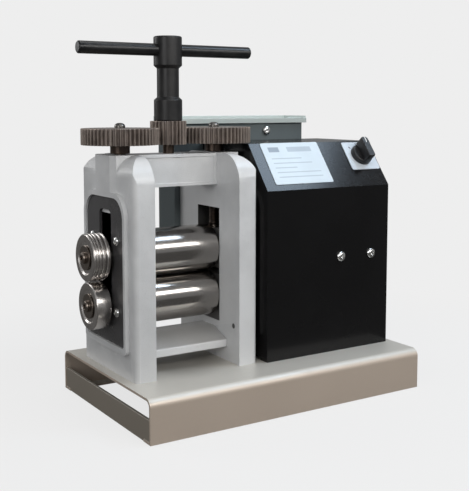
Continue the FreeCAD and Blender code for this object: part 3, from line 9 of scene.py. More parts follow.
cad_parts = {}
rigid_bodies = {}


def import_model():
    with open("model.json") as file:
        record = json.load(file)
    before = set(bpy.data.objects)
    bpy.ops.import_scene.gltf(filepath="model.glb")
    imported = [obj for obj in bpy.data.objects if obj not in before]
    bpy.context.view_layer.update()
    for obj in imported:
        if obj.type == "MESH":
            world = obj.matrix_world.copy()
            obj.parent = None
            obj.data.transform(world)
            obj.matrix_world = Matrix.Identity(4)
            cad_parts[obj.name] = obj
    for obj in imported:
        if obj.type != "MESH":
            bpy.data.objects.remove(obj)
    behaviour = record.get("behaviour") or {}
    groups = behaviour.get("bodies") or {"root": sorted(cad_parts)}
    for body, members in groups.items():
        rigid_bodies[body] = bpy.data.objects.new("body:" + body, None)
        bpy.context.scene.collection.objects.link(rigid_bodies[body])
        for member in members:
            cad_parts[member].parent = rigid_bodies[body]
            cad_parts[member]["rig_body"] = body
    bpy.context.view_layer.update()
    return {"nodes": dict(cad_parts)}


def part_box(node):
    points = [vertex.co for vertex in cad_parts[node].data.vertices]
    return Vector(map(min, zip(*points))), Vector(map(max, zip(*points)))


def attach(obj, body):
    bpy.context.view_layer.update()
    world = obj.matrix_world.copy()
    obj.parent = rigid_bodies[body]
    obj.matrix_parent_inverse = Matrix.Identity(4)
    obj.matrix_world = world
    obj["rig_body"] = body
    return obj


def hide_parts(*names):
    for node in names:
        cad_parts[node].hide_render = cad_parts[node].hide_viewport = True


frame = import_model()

bl_info = {
    "name": "Rolling mill dressing",
    "version": (1, 0, 0),
    "blender": (4, 5, 0),
    "location": "View3D > Sidebar > Rolling mill",
    "description": "Builds the visible pieces and finishes of a jewellers rolling mill",
    "category": "Object",
}


# ---------------------------------------------------------------- places and sizes in metres

def middle(node_name):
    """The middle of a CAD node's box."""
    low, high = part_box(node_name)
    return (low + high) / 2


MILL_X = middle("top_bridge").x
ROLL_Y = middle("lower_roller").y
ROLL_HEIGHTS = {"upper": middle("upper_roller").z, "lower": middle("lower_roller").z}
BASE_TOP = 0.052

# screw-down gears and roll gears
SCREW_MODULE, SCREW_BACKLASH = 0.00175, 0.00045
WHEEL_TEETH, PINION_TEETH = 52, 24
ROLL_MODULE, ROLL_BACKLASH = 0.004, 0.0013
ROLL_TEETH, ROLL_GEAR_BORE = 15, 0.0125
STUD_BORE = 0.00605

# side frames: the window that the blocks slide in, the guard's hole and the bridge screws
WINDOW_HALF = 0.0275
WINDOW_FOOT, WINDOW_TOP = 0.099, 0.2465
GUARD_Y, GUARD_Z = ROLL_Y - 0.061, 0.100
GUARD_RADIUS, GUARD_BORE = 0.0034, 0.0038
PLUG_BORE, PLUG_RADIUS = 0.0053, 0.005
LOWER_PLUG_INSET = 0.005
BETWEEN_BRIDGES_Z = 0.2

# housing, panel and electrics box
FOLD_Z = 0.2695
PANEL_RUN = 0.0445
PLATE_TALL, PLATE_RISE = 0.064, 0.0085
SWITCH_RISE = 0.0475
FRONT_SCREW_Z, FRONT_SCREW_INSET, FRONT_SCREW_PITCH = 0.178, 0.030, 0.051
MOUNT_SCREW_Z, MOUNT_SCREW_INSET = 0.280, 0.052
LID_SCREW_Z, LID_SCREW_INSET = 0.340, 0.0635
SCREW_BORE = 0.004
BOX_WALL = 0.0015

# how the meshes are dressed
USUAL_STEPS = 96
CORNER_STEPS, CORNER_SHARE, STRAIGHT = 3, 0.45, 0.15
FLANK_STEPS = 4
DRESSED_ANGLE, TURNED_ANGLE, PLATE_ANGLE, WHEEL_ANGLE = 50.0, 38.0, 40.0, 30.0
EDGE_ANGLE = math.radians(28)
TINY = 1e-7


# ---------------------------------------------------------------- sizes and colours a user would change

def length_setting(name, description, default, low, high):
    return FloatProperty(
        name=name, description=description, default=default, min=low, max=high, unit="LENGTH")


def colour_setting(name, description, *default):
    return FloatVectorProperty(
        name=name, description=description, default=default, min=0.0, max=1.0, subtype="COLOR")


class MillSettings(bpy.types.PropertyGroup):
    """Sizes and colours of the mill's finishes."""

    casting_edge: length_setting(
        "Casting edge", "Radius on the edges of the painted castings", 0.0022, 0.0002, 0.004)
    machined_edge: length_setting("Machined edge", "Chamfer on machined pieces", 0.0004, 0.0001, 0.002)
    sheet_edge: length_setting("Sheet edge", "Rounding on the edges of bent sheet", 0.0005, 0.0001, 0.001)
    fold_radius: length_setting(
        "Housing fold", "Radius of the folds of the motor housing", 0.0014, 0.0002, 0.003)
    groove_depth: length_setting(
        "Wire groove", "Depth of the deepest wire groove in the upper side roll", 0.0024, 0.0005, 0.004)
    tooth_chamfer: length_setting("Tooth chamfer", "Chamfer on the gear teeth", 0.0006, 0.0, 0.0015)
    turning_steps: IntProperty(
        name="Turning steps", description="Segments round a turned piece of the usual size",
        default=USUAL_STEPS, min=24, max=256)
    frame_paint: colour_setting("Frame paint", "Colour of the painted castings", 0.68, 0.685, 0.69)
    housing_paint: colour_setting(
        "Housing paint", "Colour of the motor housing's powder coat", 0.0075, 0.0073, 0.0076)
    box_paint: colour_setting("Box paint", "Colour of the electrics box", 0.115, 0.135, 0.14)
    sheet_steel: colour_setting("Base sheet", "Colour of the base's stainless sheet", 0.70, 0.672, 0.615)
    gear_steel: colour_setting("Gear steel", "Colour of the oiled gears", 0.20, 0.162, 0.142)
    roll_steel: colour_setting("Roll steel", "Colour of the ground rolls", 0.44, 0.42, 0.40)
    plate_tint: colour_setting("Name plate", "Colour of the blank name plate", 0.62, 0.69, 0.74)
    backdrop: FloatProperty(
        name="Backdrop", description="Brightness of the backdrop behind the mill",
        default=0.855, min=0.0, max=1.0)


# ---------------------------------------------------------------- node trees

class Net:
    """A node tree, with short ways to add nodes and to join or set their inputs."""

    def __init__(self, tree):
        self.tree = tree

    def put(self, socket, value):
        """Join an input to another node's output, or set it to a value."""
        if isinstance(value, bpy.types.NodeSocket):
            self.tree.links.new(value, socket)
        else:
            socket.default_value = (*value, 1.0) if socket.type == "RGBA" else value

    def add(self, kind, inputs=None, **properties):
        """A node with its properties, and its inputs by name or number."""
        item = self.tree.nodes.new(kind)
        for key, value in properties.items():
            setattr(item, key, value)
        for key, value in (inputs or {}).items():
            self.put(item.inputs[key], value)
        return item

    def out(self, kind, inputs=None, **properties):
        """The first output of a new node."""
        return self.add(kind, inputs, **properties).outputs[0]

    def maths(self, operation, *values):
        return self.out("ShaderNodeMath", dict(enumerate(values)), operation=operation)

    def times(self, *values):
        return self.maths("MULTIPLY", *values)

    def plus(self, *values):
        return self.maths("ADD", *values)

    def vector(self, operation, *values):
        return self.add("ShaderNodeVectorMath", dict(enumerate(values)), operation=operation).outputs

    def noise(self, vector, **values):
        return self.out("ShaderNodeTexNoise", {"Vector": vector, **values})

    def split(self, vector):
        """The X, Y and Z of a vector."""
        return self.add("ShaderNodeSeparateXYZ", {0: vector}).outputs

    def normal_z(self):
        """How far the surface looks up, on the object's own axes."""
        return self.split(self.add("ShaderNodeTexCoord").outputs["Normal"])["Z"]

    def ramp(self, value, low, high, out_low=0.0, out_high=1.0):
        """A value mapped from one range to another and clamped."""
        return self.out("ShaderNodeMapRange", {
            "Value": value, "From Min": low, "From Max": high, "To Min": out_low, "To Max": out_high,
        }, interpolation_type="SMOOTHSTEP")

    def band(self, value, start, stop, soft):
        """One between two values and none outside them, with soft ends."""
        begun = self.ramp(value, start, start + soft)
        return self.times(begun, self.ramp(value, stop, stop + soft, 1.0, 0.0))

    def blend(self, share, first, second):
        """Two colours mixed by a share; each is an output or a colour."""
        return self.add("ShaderNodeMix", {0: share, 6: first, 7: second}, data_type="RGBA").outputs[2]

    def cover(self, under, colour, mask, share=None):
        """A colour laid over another by a mask, or by a share of the mask."""
        return self.blend(mask if share is None else self.times(mask, share), under, colour)

    def mix_shaders(self, share, first, second):
        return self.out("ShaderNodeMixShader", {0: share, 1: first, 2: second})


def streaks(net, given):
    """Long scratches: noise stretched along the directions whose scale is small."""
    scaled = net.vector("MULTIPLY", given["Vector"], given["Stretch"])[0]
    fine = net.noise(scaled, Scale=1.0, Roughness=0.65, Detail=given["Depth"])
    broad = net.noise(given["Vector"], Scale=14.0, Detail=3.0)
    return net.times(fine, net.ramp(broad, 0.3, 0.7, 0.75, 1.15)), fine


def edge_wear(net, given):
    """Where edges are rubbed, broken up by noise."""
    noise = net.noise(given["Vector"], Scale=given["Breakup"], Detail=5.0, Roughness=0.7)
    raised = net.plus(net.add("ShaderNodeNewGeometry").outputs["Pointiness"], net.times(noise, 0.06))
    return [net.ramp(net.maths("SUBTRACT", raised, given["Reach"]), 0.02, 0.06)]


def mottle(net, given):
    """Soft uneven patches with finer speckle, for paint, smudges and oil."""
    patch = net.noise(given["Vector"], Scale=given["Patch"], Detail=3.0, Roughness=0.55)
    speck = net.noise(given["Vector"], Scale=given["Speckle"], Detail=2.0)
    return net.ramp(patch, 0.32, 0.68), net.ramp(speck, 0.62, 0.74), net.plus(net.times(patch, 3.0), speck)


def up_facing_dust_and_shade(net, given):
    """A mask on faces that look up, patchy unless made even: settled dust, and painted shade where a finish
    gives it a dark colour laid evenly.
    """
    noise = net.noise(given["Vector"], Scale=45.0, Detail=6.0, Roughness=0.7)
    patchy = net.maths("MAXIMUM", net.ramp(noise, 0.35, 0.75), given["Evenness"])
    return [net.times(net.times(net.ramp(net.normal_z(), 0.3, 0.95), patchy), given["Amount"])]


def copies_in_finish(net, given, points, instance, rotation, spin=None, weld=None):
    """Copies of a piece on points, made real and given the finish."""
    made = net.out("GeometryNodeInstanceOnPoints", {
        "Points": points, "Instance": instance, "Rotation": rotation})
    if spin:
        made = net.out("GeometryNodeRotateInstances", {"Instances": made, "Rotation": spin})
    made = net.out("GeometryNodeRealizeInstances", {0: made})
    if weld:
        made = net.out("GeometryNodeMergeByDistance", {"Geometry": made, "Distance": weld})
    return [net.out("GeometryNodeSetMaterial", {"Geometry": made, "Material": given["Finish"]})]


def toothed_ring(net, given):
    """Copies of a tooth wedge round the Z axis, closed to a whole wheel."""
    points = net.out("GeometryNodeMeshLine", {
        "Offset": (0.0, 0.0, 0.0), "Count": given["Teeth"]}, mode="OFFSET")
    share = net.maths("DIVIDE", net.out("GeometryNodeInputIndex"), given["Teeth"])
    turn = net.out("ShaderNodeCombineXYZ", {"Z": net.times(share, 2 * math.pi)})
    return copies_in_finish(net, given, points, given["Geometry"], turn, weld=given["Weld Distance"])


def fasteners_on_points(net, given):
    """One fastener on each point of the input mesh, facing one way and each turned by chance."""
    fastener = net.add("GeometryNodeObjectInfo", {"Object": given["Fastener"]}).outputs["Geometry"]
    chance = net.add("FunctionNodeRandomValue", {
        "Seed": given["Turn Seed"], 3: 2 * math.pi}, data_type="FLOAT")
    spin = net.out("ShaderNodeCombineXYZ", {"Z": chance.outputs[1]})
    return copies_in_finish(net, given, given["Geometry"], fastener, given["Facing"], spin=spin)


# each group's builder, its inputs as a kind or a default, and its outputs
GROUPS = {
    "Streaks": (streaks, {
        "Vector": "Vector", "Stretch": (20.0, 2000.0, 2000.0), "Depth": 4.0}, ("Mask", "Height")),
    "Edge wear": (edge_wear, {"Vector": "Vector", "Reach": 0.54, "Breakup": 60.0}, ("Mask",)),
    "Mottle": (mottle, {
        "Vector": "Vector", "Patch": 18.0, "Speckle": 420.0}, ("Patches", "Specks", "Height")),
    "Settled dust": (up_facing_dust_and_shade, {"Vector": "Vector", "Amount": 0.3, "Evenness": 0.0}, ("Mask",)),
    "Toothed wheel": (toothed_ring, {
        "Geometry": "Geometry", "Teeth": 24, "Weld Distance": 0.00002, "Finish": "Material"}, ("Geometry",)),
    "Fastener field": (fasteners_on_points, {
        "Geometry": "Geometry", "Fastener": "Object", "Facing": (0.0, 0.0, 0.0), "Turn Seed": 3,
        "Finish": "Material"}, ("Geometry",)),
}
SOCKET_KINDS = {tuple: "Vector", float: "Float", int: "Int"}


def node_group(name):
    """A group of the table, built the first time it is asked for."""
    if name in bpy.data.node_groups:
        return bpy.data.node_groups[name]
    build, inputs, outputs = GROUPS[name]
    geometry = "Geometry" in outputs
    group = bpy.data.node_groups.new(name, "GeometryNodeTree" if geometry else "ShaderNodeTree")
    for label, value in inputs.items():
        bare = isinstance(value, str)
        kind = value if bare else SOCKET_KINDS[type(value)]
        socket = group.interface.new_socket(label, in_out="INPUT", socket_type="NodeSocket" + kind)
        if not bare:
            socket.default_value = value
    for label in outputs:
        kind = "Geometry" if geometry else "Float"
        group.interface.new_socket(label, in_out="OUTPUT", socket_type="NodeSocket" + kind)
    given = group.nodes.new("NodeGroupInput").outputs
    end = group.nodes.new("NodeGroupOutput")
    net = Net(group)
    for label, value in zip(outputs, build(net, given)):
        net.put(end.inputs[label], value)
    return group


# ---------------------------------------------------------------- finishes

class Finish(Net):
    """A material under way: its shader's constants are set, and its maker feeds the rest."""

    def __init__(self, name, metallic, roughness, **sockets):
        self.material = bpy.data.materials.new(name)
        self.material.use_nodes = True
        super().__init__(self.material.node_tree)
        self.inputs = self.tree.nodes["Principled BSDF"].inputs
        for label, value in {"Metallic": metallic, "Roughness": roughness, **sockets}.items():
            self.inputs[label.replace("_", " ")].default_value = value
        self.coords = self.add("ShaderNodeTexCoord").outputs["Object"]

    def group(self, name, **values):
        """The outputs of a shared group with its own values."""
        given = {"Vector": self.coords, **values}
        return self.add("ShaderNodeGroup", given, node_tree=node_group(name)).outputs

    def feed(self, colour, height, strength, distance, roughness=None, *parts):
        """Feed the shader a colour, a bump, and a roughness to which shares of masks are added."""
        self.put(self.inputs["Base Color"], colour)
        for mask, share in parts:
            roughness = self.plus(self.times(mask, share), roughness)
        if parts:
            self.put(self.inputs["Roughness"], roughness)
        self.put(self.inputs["Normal"], self.out("ShaderNodeBump", {
            "Strength": strength, "Distance": distance, "Height": height}))
        return self.material


def shade(colour, share):
    """A colour made darker or lighter."""
    return tuple(min(1.0, channel * share) for channel in colour)


def painted_casting(name, colour, gloss=0.34, dust_and_shade_amount=0.22, dust_and_shade_colour=(0.60, 0.59, 0.57),
                    evenness=0.0, foot_shade=0.38):
    """Satin paint over a filled casting: faint waves, speckle, rubbed edges, dust and painted shade on faces
    that look up, and painted shade darker towards the foot.
    """
    made = Finish(name, 0.0, gloss, Coat_Weight=0.12, Coat_Roughness=0.22)
    patches, specks, height = made.group("Mottle", Patch=16.0, Speckle=900.0)
    # Mask on faces that look up: settled dust in the frame paint; in the bridge paint its dark, even colour
    # is painted shade under the rolls.
    dust = made.group("Settled dust", Amount=dust_and_shade_amount, Evenness=evenness)["Mask"]
    wear = made.group("Edge wear", Reach=0.56, Breakup=90.0)["Mask"]
    base = made.blend(patches, shade(colour, 0.90), shade(colour, 1.05))
    # Painted shade: the paint darkens towards the foot of the casting.
    foot = made.ramp(made.split(made.coords)["Z"], 0.05, 0.19, foot_shade, 0.0)
    base = made.cover(base, shade(colour, 0.60), foot)
    base = made.cover(base, (0.22, 0.20, 0.18), specks, 0.18)
    base = made.cover(base, (0.72, 0.72, 0.72), wear, 0.35)
    return made.feed(made.cover(base, dust_and_shade_colour, dust), height, 0.35, 0.0006, gloss - 0.04, (patches, 0.10))


def powder_coat(name, colour, gloss, grain=2200.0):
    """Powder coat on sheet: a fine even grain and a little dust."""
    made = Finish(name, 0.0, gloss, Specular_IOR_Level=0.22)
    patches, specks, _ = made.group("Mottle", Patch=9.0, Speckle=grain)
    dust = made.group("Settled dust", Amount=0.05)["Mask"]
    base = made.cover(made.blend(patches, shade(colour, 0.9), shade(colour, 1.1)), (0.30, 0.30, 0.30), dust)
    return made.feed(base, specks, 0.05, 0.00002, gloss - 0.02, (specks, 0.05))


def brushed_sheet(name, colour, stretch, gloss, upright_reflection_and_shade, metallic=0.3, shade_under_rolls=False):
    """Brushed sheet with long scratches, smudges, a painted reflection and shade of another colour on the
    folded faces, and where asked a painted shadow under the rolls.
    """
    made = Finish(name, metallic, gloss)
    scratches, depth = made.group("Streaks", Stretch=stretch, Depth=5.0)
    patches = made.group("Mottle", Patch=11.0, Speckle=300.0)["Patches"]
    upright = made.ramp(made.maths("ABSOLUTE", made.normal_z()), 0.25, 0.9, 1.0, 0.0)
    base = made.cover(shade(colour, 0.86), colour, scratches)
    base = made.cover(base, shade(colour, 0.82), patches, 0.22)
    # Painted reflection and shade: faces that stand upright take another colour.
    base = made.cover(base, upright_reflection_and_shade, upright, 0.85)
    # Painted shadow: a soft dark patch on the base under the rolls and the lower bridge.
    if shade_under_rolls:
        shifted = made.vector("SUBTRACT", made.coords, (MILL_X, ROLL_Y - 0.012, BASE_TOP))[0]
        shadow_reach = made.plus(made.vector("LENGTH", shifted)["Value"], made.times(patches, 0.012))
        base = made.cover(base, (0.13, 0.12, 0.105), made.ramp(shadow_reach, 0.030, 0.090, 0.62, 0.0))
    return made.feed(base, depth, 0.12, 0.00008, gloss - 0.10, (scratches, 0.16), (patches, 0.08))


def turned_steel(name, colour, gloss, rings, oil, oil_colour=(0.16, 0.11, 0.07)):
    """Turned or ground steel with rings round the X axis and a film of oil."""
    made = Finish(name, 1.0, gloss)
    scratches, depth = made.group("Streaks", Stretch=(rings, 6.0, 6.0), Depth=3.0)
    patches = made.group("Mottle", Patch=28.0, Speckle=520.0)["Patches"]
    base = made.cover(made.cover(shade(colour, 0.84), colour, scratches), oil_colour, patches, oil)
    return made.feed(base, depth, 0.10, 0.00005, gloss - 0.08, (scratches, 0.12), (patches, 0.07))


def oiled_gear(name, colour):
    """Cut gear steel, brown with old oil, bright on the rubbed edges."""
    made = Finish(name, 0.45, 0.46)
    patches, specks, height = made.group("Mottle", Patch=70.0, Speckle=800.0)
    wear = made.group("Edge wear", Reach=0.53, Breakup=160.0)["Mask"]
    base = made.blend(patches, shade(colour, 0.72), shade(colour, 1.2))
    base = made.cover(base, (0.26, 0.19, 0.14), specks, 0.3)
    base = made.cover(base, (0.36, 0.31, 0.27), wear, 0.4)
    return made.feed(base, height, 0.25, 0.0002, 0.30, (patches, 0.18))


def black_oxide(name):
    """Black oxide steel, rubbed bright along its edges."""
    made = Finish(name, 0.35, 0.38)
    patches, _, height = made.group("Mottle", Patch=34.0, Speckle=700.0)
    wear = made.group("Edge wear", Reach=0.55, Breakup=120.0)["Mask"]
    base = made.blend(patches, (0.012, 0.012, 0.013), (0.026, 0.025, 0.025))
    base = made.cover(base, (0.20, 0.19, 0.18), wear, 0.6)
    return made.feed(base, height, 0.18, 0.00015, 0.30, (patches, 0.12))


def plain_metal(name, colour, gloss, metallic=1.0, patch=60.0):
    """Plated, cast or machined metal with faint patches."""
    made = Finish(name, metallic, gloss)
    patches, _, height = made.group("Mottle", Patch=patch, Speckle=900.0)
    base = made.blend(patches, shade(colour, 0.85), shade(colour, 1.1))
    return made.feed(base, height, 0.15, 0.00012, gloss - 0.05, (patches, 0.10))


def moulded_plastic(name, colour):
    """Moulded plastic with a fine spark-eroded grain."""
    made = Finish(name, 0.0, 0.42)
    patches, _, height = made.group("Mottle", Patch=50.0, Speckle=2600.0)
    return made.feed(made.blend(patches, colour, shade(colour, 1.25)), height, 0.2, 0.0001)


def blank_plate(name, colour, ruled):
    """Satin aluminium plate; a ruled one carries empty printed fields and no lettering."""
    made = Finish(name, 0.10, 0.45, Specular_IOR_Level=0.3)
    patches, _, height = made.group("Mottle", Patch=24.0, Speckle=1500.0)
    base = made.cover(shade(colour, 0.94), colour, patches)
    if ruled:
        across, up, _ = made.split(made.out("ShaderNodeUVMap", uv_map="Plate"))
        rows = made.times(up, 9.0)
        line = made.band(made.maths("FRACT", rows), 0.40, 0.60, 0.06)
        chance = made.out("ShaderNodeTexWhiteNoise", {"W": made.plus(made.maths("FLOOR", rows), 0.37)},
                          noise_dimensions="1D")
        reach = made.plus(made.times(chance, 0.45), 0.45)
        ended = made.ramp(made.maths("SUBTRACT", across, reach), 0.0, 0.004, 1.0, 0.0)
        ruled_rows = made.times(made.times(line, ended), made.ramp(across, 0.10, 0.104))
        lower = made.times(ruled_rows, made.band(up, 0.08, 0.70, 0.01))
        title = made.times(made.band(across, 0.42, 0.84, 0.004), 0.6)
        block = made.band(across, 0.10, 0.28, 0.004)
        head = made.times(made.band(up, 0.77, 0.89, 0.005), made.plus(block, title))
        printed = made.maths("MAXIMUM", made.times(lower, 0.38), made.times(head, 0.60))
        base = made.cover(base, (0.10, 0.14, 0.20), printed)
    return made.feed(base, height, 0.05, 0.00008)


FINISHES = {}


def finish(name):
    """A finish by name, made the first time it is asked for."""
    if name not in FINISHES:
        chosen = bpy.context.scene.mill
        maker, *values = {
            "frame paint": (painted_casting, tuple(chosen.frame_paint)),
            "cover paint": (painted_casting, (0.062, 0.060, 0.062), 0.30),
            # Bridge paint: the dark, even colour on faces that look up is painted shade under the rolls.
            "bridge paint": (painted_casting, tuple(chosen.frame_paint), 0.34, 0.95,
                             (0.26, 0.25, 0.235), 0.75, 0.08),
            "housing coat": (powder_coat, tuple(chosen.housing_paint), 0.20),
            "box coat": (powder_coat, tuple(chosen.box_paint), 0.32, 1500.0),
            "base sheet": (brushed_sheet, tuple(chosen.sheet_steel), (5.0, 900.0, 900.0), 0.42,
                           (0.57, 0.46, 0.37), 0.3, True),
            "tray sheet": (brushed_sheet, (0.84, 0.90, 0.88), (8.0, 700.0, 700.0), 0.34, (0.50, 0.56, 0.54)),
            "bar steel": (brushed_sheet, (0.46, 0.43, 0.38), (900.0, 6.0, 900.0), 0.38,
                          (0.36, 0.315, 0.26), 0.5),
            "roll steel": (turned_steel, tuple(chosen.roll_steel), 0.17, 2400.0, 0.10),
            "side roll steel": (turned_steel, (0.78, 0.74, 0.71), 0.22, 1500.0, 0.30, (0.08, 0.06, 0.05)),
            "washer steel": (turned_steel, (0.30, 0.26, 0.23), 0.24, 900.0, 0.30),
            "screw steel": (turned_steel, (0.075, 0.060, 0.055), 0.30, 900.0, 0.35),
            "dark nut": (plain_metal, (0.20, 0.19, 0.18), 0.28),
            "bright screw": (plain_metal, (0.80, 0.80, 0.79), 0.20),
            "machined iron": (plain_metal, (0.16, 0.155, 0.15), 0.42, 0.8),
            "bronze": (plain_metal, (0.50, 0.31, 0.13), 0.30),
            "cast aluminium": (plain_metal, (0.48, 0.49, 0.50), 0.46, 0.9, 90.0),
            "laminations": (plain_metal, (0.14, 0.14, 0.15), 0.50, 0.7),
            "can": (plain_metal, (0.72, 0.72, 0.73), 0.28),
            "gear steel": (oiled_gear, tuple(chosen.gear_steel)),
            "black oxide": (black_oxide,),
            "black plastic": (moulded_plastic, (0.014, 0.014, 0.015)),
            "grey plastic": (moulded_plastic, (0.10, 0.10, 0.105)),
            "white mark": (moulded_plastic, (0.72, 0.72, 0.70)),
            "dark mark": (moulded_plastic, (0.03, 0.035, 0.045)),
            "name plate": (blank_plate, tuple(chosen.plate_tint), True),
            "switch plate": (blank_plate, (0.60, 0.65, 0.70), False),
        }[name]
        FINISHES[name] = maker(name, *values)
    return FINISHES[name]


# ---------------------------------------------------------------- mesh helpers

def new_object(name, mesh, material=None):
    """An object in the scene, in a finish if one is named."""
    item = bpy.data.objects.new(name, mesh)
    bpy.context.scene.collection.objects.link(item)
    if material:
        coat(mesh, material)
    return item


def coat(mesh, material):
    """Give a mesh one finish and no other."""
    mesh.materials.clear()
    mesh.materials.append(finish(material))


def paint_nodes(material, *node_names):
    """Give CAD nodes that stay in view their finish."""
    for node_name in node_names:
        coat(frame["nodes"][node_name].data, material)


def remove_object(item):
    """Remove an object, and its mesh if nothing else uses it."""
    mesh = item.data
    bpy.data.objects.remove(item)
    if mesh.users == 0:
        bpy.data.meshes.remove(mesh)


def mesh_from(work, name, outwards=True):
    """The mesh that a bmesh holds, with its faces turned outwards."""
    if outwards:
        bmesh.ops.recalc_face_normals(work, faces=work.faces)
    mesh = bpy.data.meshes.new(name)
    work.to_mesh(mesh)
    work.free()
    return mesh


def bake_modifiers(item):
    """Turn an object and its modifiers into a plain mesh."""
    bpy.context.view_layer.update()
    evaluated = item.evaluated_get(bpy.context.evaluated_depsgraph_get())
    mesh = bpy.data.meshes.new_from_object(evaluated)
    old = item.data
    item.modifiers.clear()
    item.data = mesh
    mesh.name = item.name
    if old.users == 0:
        bpy.data.meshes.remove(old)
    return item


def bake_modifier(item, name, kind, **settings):
    """Put one modifier on an object and keep its result."""
    modifier = item.modifiers.new(name, kind)
    for key, value in settings.items():
        setattr(modifier, key, value)
    return bake_modifiers(item)


def smooth(item, angle):
    """Smooth shading with sharp edges kept, and flat faces kept flat."""
    mesh = item.data
    mesh.polygons.foreach_set("use_smooth", [True] * len(mesh.polygons))
    mesh.set_sharp_from_angle(angle=math.radians(angle))
    return bake_modifier(item, "Weigh", "WEIGHTED_NORMAL", keep_sharp=True, weight=80)


def settle(item, node_name):
    """Seat a finished piece: it stands for a CAD node, which is hidden, and rides on that node's body."""
    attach(item, frame["nodes"][node_name]["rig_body"])
    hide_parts(node_name)
    return item


def in_bore(point, bores):
    """Whether a point lies in one of the bores, each a place on its axis, the axis and a radius."""
    for place, axis, radius in bores:
        reach = point - Vector(place)
        reach["XYZ".index(axis)] = 0.0
        if reach.length < radius:
            return True
    return False


def dressed(node_name, material, edge, segments=2, bores=()):
    """A CAD node's own shape with its edges rounded, apart from the rims of the bores."""
    work = bmesh.new()
    work.from_mesh(frame["nodes"][node_name].data)
    bmesh.ops.remove_doubles(work, verts=work.verts, dist=2e-6)
    bmesh.ops.dissolve_limit(work, angle_limit=math.radians(0.6), verts=work.verts, edges=work.edges)
    weight = work.edges.layers.float.new("bevel_weight_edge")
    for seam in work.edges:
        folded = len(seam.link_faces) == 2 and seam.calc_face_angle(0.0) > EDGE_ANGLE
        if folded and not all(in_bore(corner.co, bores) for corner in seam.verts):
            seam[weight] = 1.0
    item = new_object("dressed_" + node_name, mesh_from(work, node_name, False), material)
    bake_modifier(item, "Edges", "BEVEL", width=edge, segments=segments, limit_method="WEIGHT",
                  use_clamp_overlap=True, miter_outer="MITER_ARC")
    return settle(smooth(item, DRESSED_ANGLE), node_name)


def soften(profile, radius):
    """Round the corners of a turning profile."""
    points = []
    for number, here in enumerate(profile):
        here = Vector(here)
        if number in (0, len(profile) - 1) or here.x < TINY:
            points.append(tuple(here))
            continue
        before, after = Vector(profile[number - 1]), Vector(profile[number + 1])
        reach = min(radius, (before - here).length * CORNER_SHARE, (after - here).length * CORNER_SHARE)
        if (here - before).angle(after - here, 0.0) < STRAIGHT or reach < 1e-6:
            points.append(tuple(here))
            continue
        first = here + (before - here).normalized() * reach
        last = here + (after - here).normalized() * reach
        for step in range(CORNER_STEPS + 1):
            share = step / CORNER_STEPS
            rest = 1 - share
            points.append(tuple(first * rest ** 2 + here * 2 * share * rest + last * share ** 2))
    return points


def lathe(name, profile, centre, axis, material, edge, steps):
    """A closed turned mesh: profile points are (radius, along), turned about an axis through a centre."""
    steps = round(steps * bpy.context.scene.mill.turning_steps / USUAL_STEPS)
    points = soften(profile, edge) if edge else profile
    work = bmesh.new()
    matrix = Matrix.Translation(Vector(centre))
    if axis != "Z":
        matrix = matrix @ Matrix.Rotation(math.pi / 2 if axis == "X" else -math.pi / 2, 4, "Y")
    rows = []
    for radius, along in points:
        if radius < TINY:
            rows.append([work.verts.new(matrix @ Vector((0, 0, along)))] * steps)
            continue
        row = []
        for step in range(steps):
            angle = 2 * math.pi * step / steps
            place = Vector((radius * math.cos(angle), radius * math.sin(angle), along))
            row.append(work.verts.new(matrix @ place))
        rows.append(row)
    pairs = list(zip(rows, rows[1:]))
    if points[0][0] > TINY and points[-1][0] > TINY:
        pairs.append((rows[-1], rows[0]))
    for low, high in pairs:
        for step in range(steps):
            following = (step + 1) % steps
            corners = dict.fromkeys([low[step], low[following], high[following], high[step]])
            if len(corners) > 2:
                work.faces.new(list(corners))
    return smooth(new_object(name, mesh_from(work, name), material), TURNED_ANGLE)


def join(name, items):
    """One object of several plain meshes, all at the origin."""
    work = bmesh.new()
    materials = []
    for item in items:
        table = []
        for material in item.data.materials:
            if material not in materials:
                materials.append(material)
            table.append(materials.index(material))
        start = len(work.faces)
        work.from_mesh(item.data)
        work.faces.ensure_lookup_table()
        for face in work.faces[start:]:
            face.material_index = table[face.material_index]
    mesh = mesh_from(work, name, False)
    for material in materials:
        mesh.materials.append(material)
    for item in items:
        remove_object(item)
    return smooth(new_object(name, mesh), TURNED_ANGLE)


def extrude_outline(name, outline, low, high, matrix, material, edge, segments):
    """A plate from an outline in XY between two heights, its edges rounded, then laid by a matrix."""
    work = bmesh.new()
    bottom, top = ([work.verts.new((x, y, z)) for x, y in outline] for z in (low, high))
    work.faces.new(list(reversed(bottom)))
    work.faces.new(top)
    for number in range(len(outline)):
        following = (number + 1) % len(outline)
        work.faces.new([bottom[number], bottom[following], top[following], top[number]])
    item = new_object(name, mesh_from(work, name), material)
    bake_modifier(item, "Edges", "BEVEL", width=edge, segments=segments, limit_method="ANGLE",
                  angle_limit=math.radians(40))
    item.data.transform(matrix)
    return smooth(item, PLATE_ANGLE)


def rounded_outline(half_x, half_y, radius, steps=6):
    """A rectangle with round corners about the origin."""
    points = []
    for corner_x, corner_y, start in ((1, 1, 0), (-1, 1, 90), (-1, -1, 180), (1, -1, 270)):
        for step in range(steps + 1):
            angle = math.radians(start + 90 * step / steps)
            points.append((corner_x * (half_x - radius) + radius * math.cos(angle),
                           corner_y * (half_y - radius) + radius * math.sin(angle)))
    return points


def run_tree(item, name, values):
    """Run a geometry tree on an object and keep the result as a plain mesh."""
    tree = node_group(name)
    modifier = item.modifiers.new(name, "NODES")
    modifier.node_group = tree
    sockets = {socket.name: socket.identifier for socket in tree.interface.items_tree
               if socket.item_type == "SOCKET" and socket.in_out == "INPUT"}
    for label, value in values.items():
        modifier[sockets[label]] = value
    return bake_modifiers(item)


